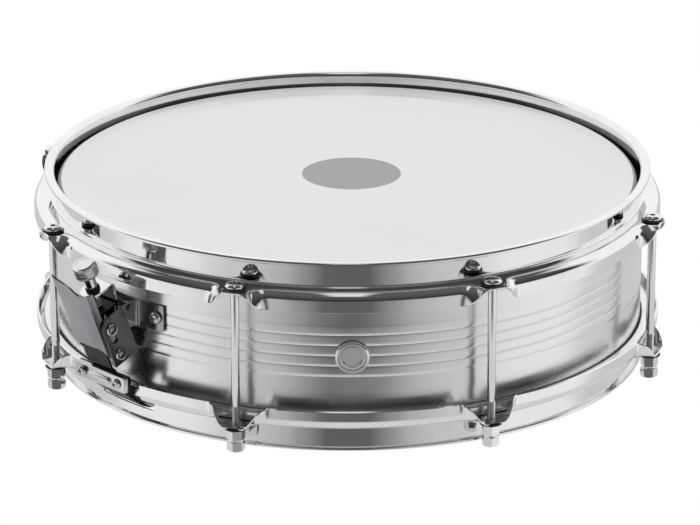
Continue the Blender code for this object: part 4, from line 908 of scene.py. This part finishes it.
def makeBracket():
    spec = {"depth": 0.0186, "height": 0.0318, "back": 0.0086, "corner": 0.0060, "slot": 0.0022, "end": 10.5}
    whole = bmesh.new()
    for side in (-1, 1):
        low, high = side * cheekY, side * (cheekY + sheet)
        cheek = bmesh.new()
        sidePrism(cheek, rectangle(0, spec["depth"], 0, spec["height"]), low, high)
        roundPillars(cheek, 1, spec["corner"], 8, lambda point: point.x > 0.01 and point.z > 0.01)
        roundPillars(cheek, 1, 0.0012, 4, lambda point: point.x > 0.01 and point.z < 0.001)
        slot = bmesh.new()
        outline = arc((pinX, camZ), spec["slot"], 0, 180, 12)
        outline += arc((pinX, camZ - throwTravel), spec["slot"], 180, 360, 12)
        sidePrism(slot, outline, low - side * 0.002, high + side * 0.002)
        copyTo(whole, worked(cheek, 0, [slot]))
    inside = cheekY + 0.0004
    frontPrism(whole, rectangle(-inside, inside, 0, spec["back"]), 0, sheet)
    finishPiece("bracketCheeks", whole, "drum", ["strainer_bracket"], "satinSteel", slide, 0.0004)
    footLine, y = footRadius + sheet / 2, cheekY + sheet / 2
    path = [(0.1930, y), (footLine, y)] + arc((0, 0), footLine, 5.2, spec["end"], 8)
    radii = [0, 0.0028] + [0] * 9
    foot = foldedSheet(path, radii, lambda x, across: (x, across, footLow), (0, 0, footHigh - footLow))
    backX, backZ = leaning(0.0004, 0)
    for point, normal in (
        ((backX, 0, backZ), (math.cos(lean), 0, -math.sin(lean))),
        ((0.1769, 0, 0.0752), (0.0019, 0, 0.0130)),
    ):
        everything = foot.verts[:] + foot.edges[:] + foot.faces[:]
        bmesh.ops.bisect_plane(foot, geom=everything, plane_co=point, plane_no=normal, clear_outer=True)
    foot = worked(foot, sheet)
    feet = bmesh.new()
    copyTo(feet, foot)
    copyTo(feet, foot, Matrix.Scale(-1, 4, (0, 1, 0)))
    finishPiece("bracketFeet", feet, "drum", [], "footSteel", upright, 0.0003)


def makeLever():
    spec = {"front": 0.0238, "low": 0.0170, "tip": 0.0632, "flange": 0.0153, "flangeTop": 0.0515, "fold": 0.0040}
    outer = cheekY - 0.0002
    middle, web = outer - sheet / 2, spec["front"] - sheet / 2
    path = [(-0.002, -middle), (web, -middle), (web, middle), (-0.002, middle)]
    channel = foldedSheet(path, [0, spec["fold"], spec["fold"], 0], lambda x, y: (x, y, -0.012), (0, 0, 0.097))
    high, clear = camZ - pivotZ, 0.0022
    fall = throwTravel / throwAngle
    cam = []
    for index in range(15):  # the curve one pin radius off the cam pin's path
        turn = throwAngle * index / 14
        radius = high - fall * turn
        lead = math.atan2(fall, radius)
        angle = math.pi / 2 + turn
        cam.append((
            pinX + radius * math.cos(angle) + clear * math.cos(angle + math.pi + lead),
            pivotZ + radius * math.sin(angle) + clear * math.sin(angle + math.pi + lead),
        ))
    back, proud = spec["front"] - sheet - 0.0006, spec["front"] + 0.001
    outline = cam + arc((pinX, pivotZ), 0.0055, 200, 320, 10) + [
        (0.0196, 0.0088), (0.0230, spec["low"] - 0.0005), (proud, spec["low"]), (proud, 0.075), (back, 0.075),
        (back, spec["flangeTop"] + 0.0030), (0.0200, spec["flangeTop"] + 0.0006),
        (spec["flange"], spec["flangeTop"] - 0.0010), (spec["flange"], cam[0][1]),
    ]
    shape = bmesh.new()
    sidePrism(shape, outline, -0.02, 0.02)
    bm = worked(channel, sheet, [shape], "INTERSECT")
    tip = spec["tip"]
    slope = bmesh.new()
    frontPrism(slope, [
        (-0.0126, tip), (-0.0100, tip - 0.0001), (-0.0080, tip - 0.0006), (-0.0040, tip - 0.0016), (0, tip - 0.0028),
        (0.0036, tip - 0.0042), (0.0068, tip - 0.0064), (0.0096, tip - 0.0089), (0.0126, tip - 0.0100),
        (0.0126, 0.09), (-0.0126, 0.09),
    ], 0.010, 0.030)
    bm = worked(bm, 0, [slope])
    finishPiece("leverChannel", bm, "lever", ["throw_lever"], "leverSteel", slide, 0.0004, 30)


def makePins():
    inner, rim = cheekY + sheet + fitGap, 0.0038
    half = [(radius, inner + rise) for radius, rise in (
        (0, 0.0009), (0.0012, 0.0009), (0.0017, 0.0006), (0.0018, 0.0002), (0.0025, 0.0002), (0.0027, 0.0010),
        (0.0033, 0.0011), (rim - 0.0002, 0.0007), (rim, 0.0003), (rim, 0), (0.0020, 0),
    )]
    profile = half + [(radius, -y) for radius, y in reversed(half)]
    turned = Vector((0, 1, 0)).to_track_quat("Z", "Y").to_matrix().to_4x4()
    for name, node, body, z in (
        ("pivotPin", "lever_pivot_pin", "drum", pivotZ), ("camPin", "cam_pin", "carriage", camZ),
    ):
        bm = bmesh.new()
        addTurned(bm, profile, 36, Matrix.Translation((pinX, 0, z)) @ turned)
        for face in bm.faces:
            middle = face.calc_center_median()
            across = math.hypot(middle.x - pinX, middle.z - z)
            if abs(middle.y) < inner or 0.00175 < across < 0.0026:
                face.material_index = 2
            elif across < 0.0018:
                face.material_index = 1
        finishPiece(name, bm, body, [node], "nickelPlate rivetBrass satinSteel", slide)


def makeCarriage():
    spec = {
        "fold": -0.0030, "tilt": math.radians(9.4), "half": 0.0077, "outer": 0.0100, "low": 0.0165,
        "shoulder": 0.0282, "front": 0.0157,
    }
    tabZ, low, shoulder, outer, half = tabTop - sheet / 2, spec["low"], spec["shoulder"], spec["outer"], spec["half"]

    def webX(z):
        return spec["fold"] + (tabZ - z) * math.tan(spec["tilt"])

    path = [(webX(low), low), (spec["fold"], tabZ), (screwX + half + 0.002, tabZ)]
    bent = foldedSheet(path, [0, 0.0014, 0], lambda x, z: (x, -outer, z), (0, 2 * outer, 0))
    face = bmesh.new()
    frontPrism(face, [
        (-outer, low - 0.001), (outer, low - 0.001), (outer, shoulder), (half, shoulder + 0.0012), (half, 0.06),
        (-half, 0.06), (-half, shoulder + 0.0012), (-outer, shoulder),
    ], -0.02, 0.03)
    bent = worked(bent, sheet, [face], "INTERSECT")
    plan = bmesh.new()
    levelPrism(plan, [
        (-0.01, outer), (-0.01, -outer), (screwX, -outer), *arc((screwX, 0), half, -90, 90, 24), (screwX, outer),
    ], 0.001, 0.08)
    bm = worked(bent, 0, [plan], "INTERSECT")
    for side in (-1, 1):
        wall = bmesh.new()
        outline = [(webX(low), low), (spec["front"], low), (spec["front"], shoulder), (webX(shoulder), shoulder)]
        sidePrism(wall, outline, side * (outer - sheet), side * outer)
        roundPillars(wall, 1, 0.0014, 4, lambda point: point.x > 0.01)
        copyTo(bm, wall)
        wall.free()
    finishPiece("carriageFrame", bm, "carriage", ["carriage"], "chromePlate", slide, 0.0002)
    collar = bmesh.new()
    low, high = tabTop + 0.00005, tabTop + 0.0016
    place = Matrix.Translation((screwX, 0, 0))
    addTurned(collar, [
        (0.0035, low), (0.0035, high), (0.0038, high + 0.0002), (0.0042, high - 0.0002), (0.0043, low),
    ], 32, place)
    finishPiece("knobCollar", collar, "carriage", [], "blackNylon", slide)


def makeKnob():
    spec = {"radius": 0.00715, "neck": 0.0034, "foot": 0.04515, "low": 0.05485, "height": 0.0080, "teeth": 36}
    radius, neck, low, teeth = spec["radius"], spec["neck"], spec["low"], spec["teeth"]
    high = low + spec["height"]
    rows = 30
    knurled = [(radius, low + 0.0007 + (spec["height"] - 0.0014) * row / rows) for row in range(rows + 1)]
    profile = [
        (0, spec["foot"]), (neck, spec["foot"]), (neck, low - 0.0006), (neck + 0.0006, low),
        (radius - 0.0009, low + 0.0001), (radius - 0.0004, low + 0.0003), *knurled,
        (radius - 0.0004, high - 0.0003), (radius - 0.0009, high - 0.0001), (radius - 0.0022, high),
        (radius - 0.0024, high - 0.00012), (0, high - 0.00014),
    ]
    bm = bmesh.new()
    addTurned(bm, profile, teeth * 6)
    for vert in bm.verts:  # crossed helical cuts
        across = math.hypot(vert.co.x, vert.co.y)
        if across > radius - 0.0001:
            share = (vert.co.z - low) / spec["height"]
            turn = math.atan2(vert.co.y, vert.co.x) / (2 * math.pi)
            one, two = [abs(((turn * teeth + way * share * 5.5) % 1) - 0.5) * 2 for way in (1, -1)]
            fade = min(1, (share - 0.07) * 12, (0.93 - share) * 12)
            depth = 0.00070 * (1 - min(one, two)) * max(0, fade) + 0.0002 * (1 - max(0, fade))
            vert.co.x *= 1 - depth / across
            vert.co.y *= 1 - depth / across
    place = slide @ Matrix.Translation((screwX, 0, 0))
    finishPiece("knobHead", bm, "knob", ["adjuster_knob"], "knurlSteel", place, smooth=24)
    screw = bmesh.new()
    addTurned(screw, [(0, 0.0590), (0.0017, 0.0590), (0.0017, 0.0164), (0.0013, 0.0160), (0, 0.0160)], 24)
    addThread(screw, 0.00198, 0.00028, 0.0008, 0.0166, 0.0428)
    finishPiece("adjusterSpindle", screw, "knob", ["adjuster_screw"], "chromePlate", place)


def addClampBase(bm, thickness):
    base = bmesh.new()
    outline = rectangle(-clampHalf, clampHalf, clampLow, clampHigh)
    frontPrism(base, outline, clampX + sheet - thickness, clampX + sheet)
    roundPillars(base, 0, 0.0009, 4)
    copyTo(bm, base)
    base.free()


def makeTensionPlate():
    spec = {"bridge": 0.0318, "back": 0.0007, "web": 0.0186, "webLow": -0.0005, "wide": 0.0100, "narrow": 0.0084}
    half, wide = sheet / 2, spec["wide"]
    webX = spec["web"] + half
    path = [
        leaning(spec["back"], spec["bridge"] + half), leaning(webX, spec["bridge"] + half),
        leaning(webX, spec["webLow"]), (clampX + half, clampHigh), (clampX + half, clampLow),
    ]
    bent = foldedSheet(path, [0, 0.0022, 0.0024, 0.003, 0], lambda x, z: (x, -wide, z), (0, 2 * wide, 0))
    cutters = []
    for side in (-1, 1):  # the bridge is narrower than the web
        cutters.append(bmesh.new())
        sidePrism(
            cutters[-1], rectangle(-0.0065, spec["web"] - 0.0002, 0.0287, 0.0349),
            side * spec["narrow"], side * 0.020,
        )
        bmesh.ops.transform(cutters[-1], matrix=upright.inverted() @ slide, verts=cutters[-1].verts)
    bm = worked(bent, sheet, cutters)
    addClampBase(bm, sheet)
    # the hanger and its nut carry the painted shade of the near-black finish
    finishPiece("tensionHanger", bm, "snare_clamp", ["tension_plate"], "paintedShadePlate", upright, 0.00015)
    nut = bmesh.new()
    side = 0.0035
    levelPrism(nut, rectangle(screwX - side, screwX + side, -side, side), 0.0287, 0.0324)
    roundPillars(nut, 2, 0.0006, 3)
    finishPiece("hangerNut", nut, "snare_clamp", [], "paintedShadePlate", slide, 0.0002)


def makeClampPlates():
    spec = {"thick": 0.0026, "rib": 0.0021, "ribHalf": 0.0100, "teeth": 30, "reach": 0.0206}
    high = clampFace + spec["thick"]
    for side, body, row in (("strainer", "snare_clamp", upright), ("butt", "drum", toRow)):
        bm = bmesh.new()
        frontPrism(bm, rectangle(-clampHalf, clampHalf, clampLow, clampHigh), clampFace, high)
        roundPillars(bm, 0, 0.0014, 5)
        rim = [edge for edge in bm.edges if all(vert.co.x > high - 1e-6 for vert in edge.verts)]
        bevelEdges(bm, rim, 0.0006, 3)
        ends = spec["ribHalf"] - spec["rib"]
        profile = arc((0, -ends), spec["rib"], -90, 0, 8) + arc((0, ends), spec["rib"], 0, 90, 8)
        profile = [(abs(round(radius, 7)), along) for radius, along in profile]
        addTurned(bm, profile, 32, standing((high - 0.0003, 0, clampMiddle), (0, 1, 0)))
        finishPiece(f"{side}ClampBar", bm, body, [f"{side}_clamp_plate"], "clampChrome", row)
        comb = bmesh.new()
        tooth = bmesh.new()
        frontPrism(tooth, rectangle(0, 0.0007, clampHigh - 0.0030, clampHigh - 0.0001), clampFace - 0.00085, clampFace)
        for step in range(spec["teeth"]):
            y = spec["reach"] * (2 * (step + 0.25) / spec["teeth"] - 1)
            copyTo(comb, tooth, Matrix.Translation((0, y, 0)))
        tooth.free()
        finishPiece(f"{side}ClampComb", comb, body, [], "nickelPlate", row, smooth=30)


makeBracket()
makeLever()
makePins()
makeCarriage()
makeKnob()
makeTensionPlate()
makeClampPlates()
print("strainer ready")


# butt plate

def makeButt():
    spec = {"half": 0.0160, "low": 0.0500, "high": 0.0700, "knee": 0.0370, "fold": 0.004}
    shellX = footRadius + buttSheet / 2
    baseX = clampX + sheet - buttSheet / 2
    path = [(shellX, spec["high"]), (shellX, spec["low"]), (baseX, spec["knee"]), (baseX, clampHigh - 0.001)]
    bm = foldedSheet(
        path, [0, spec["fold"], spec["fold"], 0], lambda x, z: (x, -spec["half"], z), (0, 2 * spec["half"], 0), 15,
    )
    for vert in bm.verts:  # the foot is curved to the shell
        weight = max(0, min(1, (vert.co.z - spec["knee"]) / (spec["low"] - spec["knee"])))
        vert.co.x += weight * (math.sqrt(shellX ** 2 - vert.co.y ** 2) - shellX)
    bm = worked(bm, buttSheet)
    addClampBase(bm, buttSheet)
    finishPiece("buttBracket", bm, "drum", ["butt_plate"], "chromePlate", toRow, 0.0002)


makeButt()
print("butt ready")


# snares and straps

def makeSnares():
    spec = {
        "strands": 20, "pitch": 0.00215, "coil": 0.0009, "wire": 0.00024, "half": 0.1420, "lead": 0.0026,
        "z": 0.0066, "perTurn": 10,
    }
    turns = int(2 * spec["half"] / spec["lead"])
    strand = bmesh.new()
    ring = bmesh.ops.create_circle(strand, segments=4, radius=spec["wire"])["verts"]
    tilt = math.atan2(2 * math.pi * (spec["coil"] - spec["wire"]), spec["lead"])
    turned = Matrix.Translation((-turns * spec["lead"] / 2, 0, spec["coil"] - spec["wire"]))
    turned = turned @ Matrix.Rotation(-tilt, 4, "Z") @ Matrix.Rotation(math.pi / 2, 4, "Y")
    bmesh.ops.transform(strand, matrix=turned, verts=ring)
    bmesh.ops.spin(
        strand, geom=strand.verts[:] + strand.edges[:], cent=(0, 0, 0), axis=(1, 0, 0),
        dvec=(spec["lead"] / spec["perTurn"], 0, 0), angle=2 * math.pi * turns,
        steps=turns * spec["perTurn"], use_merge=False,
    )
    bmesh.ops.holes_fill(strand, edges=[edge for edge in strand.edges if edge.is_boundary], sides=0)
    for group in range(2):
        bm = bmesh.new()
        for number in range(group * 10, group * 10 + 10):
            y = (number - (spec["strands"] - 1) / 2) * spec["pitch"]
            copyTo(bm, strand, Matrix.Translation((0, y, spec["z"])) @ Matrix.Rotation(number * 1.0, 4, "X"))
        nodes = ["snare_wires"] if group == 0 else []
        finishPiece(f"snareCoils{group + 1}", bm, "drum", nodes, "springSteel", smooth=60)
    strand.free()
    plates = bmesh.new()
    for low, high in ((-0.1580, -0.1420), (0.1420, 0.1580)):
        levelPrism(plates, rectangle(low, high, -0.0225, 0.0225), 0.0055, 0.0061)
    roundPillars(plates, 2, 0.0012, 4)
    finishPiece("snareEndPlates", plates, "drum", [], "nickelPlate", toRow, 0.0001)


def makeStraps():
    spec = {"half": 0.0125, "thick": 0.0004}
    plateZ = 0.00606 - 0.0006 - fitGap - spec["thick"] / 2
    clampAt = strapX + spec["thick"] / 2
    path = [
        (0.1500, plateZ), (0.1620, plateZ), (0.1696, (plateZ + 0.0078) / 2), (hoopWall, 0.0090),
        (clampAt, clampLow - 0.0004), (clampAt, clampHigh),
    ]
    folds = [0, 0.004, 0.004, 0.006, 0.003, 0]
    for name, node, row in (("strainerWebbing", "strainer_strap", upright), ("buttWebbing", "butt_strap", toRow)):
        bm = foldedSheet(path, folds, lambda x, z: (x, -spec["half"], z), (0, 2 * spec["half"], 0), 5)
        longer = [
            edge for edge in bm.edges
            if edge.calc_length() > 0.0025 and abs(edge.verts[0].co.y - edge.verts[1].co.y) < 1e-6
        ]
        bmesh.ops.subdivide_edges(bm, edges=longer, cuts=4)
        bm = worked(bm, spec["thick"])
        bends = node == "strainer_strap"
        piece = finishPiece(name, bm, None if bends else "drum", [node], "strapWeave", row, smooth=40)
        if bends:
            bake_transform(piece)


makeSnares()
makeStraps()
print("snares ready")


# floor, light and camera

def makeStage():
    bm = bmesh.new()
    bmesh.ops.create_grid(bm, x_segments=2, y_segments=2, size=8)
    mesh = bpy.data.meshes.new("floor")
    bm.to_mesh(mesh)
    bm.free()
    floor = bpy.data.objects.new("floor", mesh)
    bpy.context.scene.collection.objects.link(floor)
    material = bpy.data.materials.new("paleFloor")
    material.use_nodes = True
    tree = material.node_tree
    shader = tree.nodes["Principled BSDF"]
    shader.inputs["Base Color"].default_value = (0.86, 0.86, 0.86, 1)
    shader.inputs["Roughness"].default_value = 0.75
    glow = addNode(tree, "ShaderNodeEmission")
    path = addNode(tree, "ShaderNodeLightPath")
    mix = addNode(tree, "ShaderNodeMixShader")
    tree.links.new(path.outputs["Is Camera Ray"], mix.inputs["Fac"])
    tree.links.new(shader.outputs[0], mix.inputs[1])
    tree.links.new(glow.outputs[0], mix.inputs[2])
    tree.links.new(mix.outputs[0], tree.nodes["Material Output"].inputs["Surface"])
    mesh.materials.append(material)
    floor.visible_glossy = False  # metal mirrors the tent all the way down


def stops(tree, source, points):  # a grey scale from (place, level) pairs
    node = addNode(tree, "ShaderNodeValToRGB")
    scale = node.color_ramp
    while len(scale.elements) < len(points):
        scale.elements.new(0.5)
    for element, (place, level) in zip(scale.elements, points):
        element.position = place
        element.color = (level, level, level, 1)
    tree.links.new(source, node.inputs["Fac"])
    return node.outputs["Color"]


def blended(tree, factor, low, high):
    node = addNode(tree, "ShaderNodeMix", data_type="RGBA")
    tree.links.new(factor, node.inputs["Factor"])
    for value, socket in ((low, node.inputs["A"]), (high, node.inputs["B"])):
        if isinstance(value, float):
            socket.default_value = (value, value, value, 1)
        else:
            tree.links.new(value, socket)
    return node.outputs["Result"]


def makeWorld():  # a light tent: white behind and at the sides, dark above the camera, a pale table
    world = bpy.data.worlds.new("studio")
    bpy.context.scene.world = world
    world.use_nodes = True
    tree = world.node_tree
    coords = addNode(tree, "ShaderNodeTexCoord")
    mapping = addNode(tree, "ShaderNodeMapping", vector_type="POINT")
    mapping.inputs["Rotation"].default_value = (0, 0, math.radians(-226.5))
    tree.links.new(coords.outputs["Generated"], mapping.inputs["Vector"])
    split = addNode(tree, "ShaderNodeSeparateXYZ")
    tree.links.new(mapping.outputs["Vector"], split.inputs[0])
    front, side, up = split.outputs
    flat = addNode(tree, "ShaderNodeVectorMath", operation="MULTIPLY")
    flat.inputs[1].default_value = (1, 1, 0)
    tree.links.new(mapping.outputs["Vector"], flat.inputs[0])
    level = addNode(tree, "ShaderNodeVectorMath", operation="NORMALIZE")
    tree.links.new(flat.outputs[0], level.inputs[0])
    around = addNode(tree, "ShaderNodeSeparateXYZ")
    tree.links.new(level.outputs[0], around.inputs[0])
    sideways = addMath(tree, "ABSOLUTE", around.outputs["Y"], 0)
    low = stops(tree, sideways, [
        (0.00, 0.125), (0.15, 0.13), (0.245, 0.26), (0.33, 0.35), (0.39, 0.45), (0.47, 0.52),
        (0.57, 0.59), (0.72, 0.64), (0.88, 0.86), (0.97, 0.90),
    ])
    lowRear = stops(tree, sideways, [(0.00, 0.64), (0.94, 0.64), (0.98, 0.71), (1.00, 0.76)])
    table = addRange(tree, up, 1, 0, -0.62, -0.46)
    beam = addMath(tree, "MULTIPLY", addRange(tree, addMath(tree, "ABSOLUTE", side, 0), 1, 0, 0.05, 0.10),
                   addRange(tree, up, 0, 1, 0.86, 0.92))
    dark = blended(tree, beam, addRange(tree, up, 0.035, 0.11, 0.3, 0.9), 0.8)
    before = blended(tree, addRange(tree, up, 0, 1, 0.10, 0.26), blended(tree, table, low, 0.70), dark)
    wall = blended(tree, addRange(tree, up, 0, 1, 0.72, 0.80), 1.0, dark)
    behind = blended(tree, addRange(tree, up, 0, 1, -0.12, 0.02), blended(tree, table, lowRear, 0.70), wall)
    tent = blended(tree, addRange(tree, front, 0, 1, -0.04, -0.20), before, behind)
    path = addNode(tree, "ShaderNodeLightPath")
    tent = blended(tree, path.outputs["Is Camera Ray"], tent, 1.0)
    tree.links.new(tent, tree.nodes["Background"].inputs["Color"])


def addPanel(name, place, size, power):  # lights the matt parts; metal mirrors the tent instead
    light = bpy.data.lights.new(name, "AREA")
    light.shape = "SQUARE"
    light.size = size
    light.energy = power
    lamp = bpy.data.objects.new(name, light)
    lamp.location = Vector(place) + Vector((axisX, 0, 0))
    lamp.rotation_euler = (-Vector(place)).to_track_quat("-Z", "Y").to_euler()
    lamp.visible_glossy = False
    bpy.context.scene.collection.objects.link(lamp)


def makeCamera():
    data = bpy.data.cameras.new("camera")
    data.lens = 226.64
    data.sensor_width = 36
    data.clip_end = 50
    camera = bpy.data.objects.new("camera", data)
    place = Vector((-1.7138 + axisX, -1.8059, 0.9521))
    aim = Vector((axisX, 0, 0.05067))
    turn = (aim - place).to_track_quat("-Z", "Y").to_matrix().to_4x4()
    fine = Matrix.Rotation(-0.0006, 4, "Y") @ Matrix.Rotation(-0.0004, 4, "X") @ Matrix.Rotation(-0.0004, 4, "Z")
    camera.matrix_world = Matrix.Translation(place) @ turn @ fine
    bpy.context.scene.collection.objects.link(camera)
    bpy.context.scene.camera = camera


makeStage()
makeWorld()
addPanel("overhead", (0, 0, 1.8), 1.5, 17)
makeCamera()
bpy.context.scene.view_settings.view_transform = "Standard"
print("stage ready")
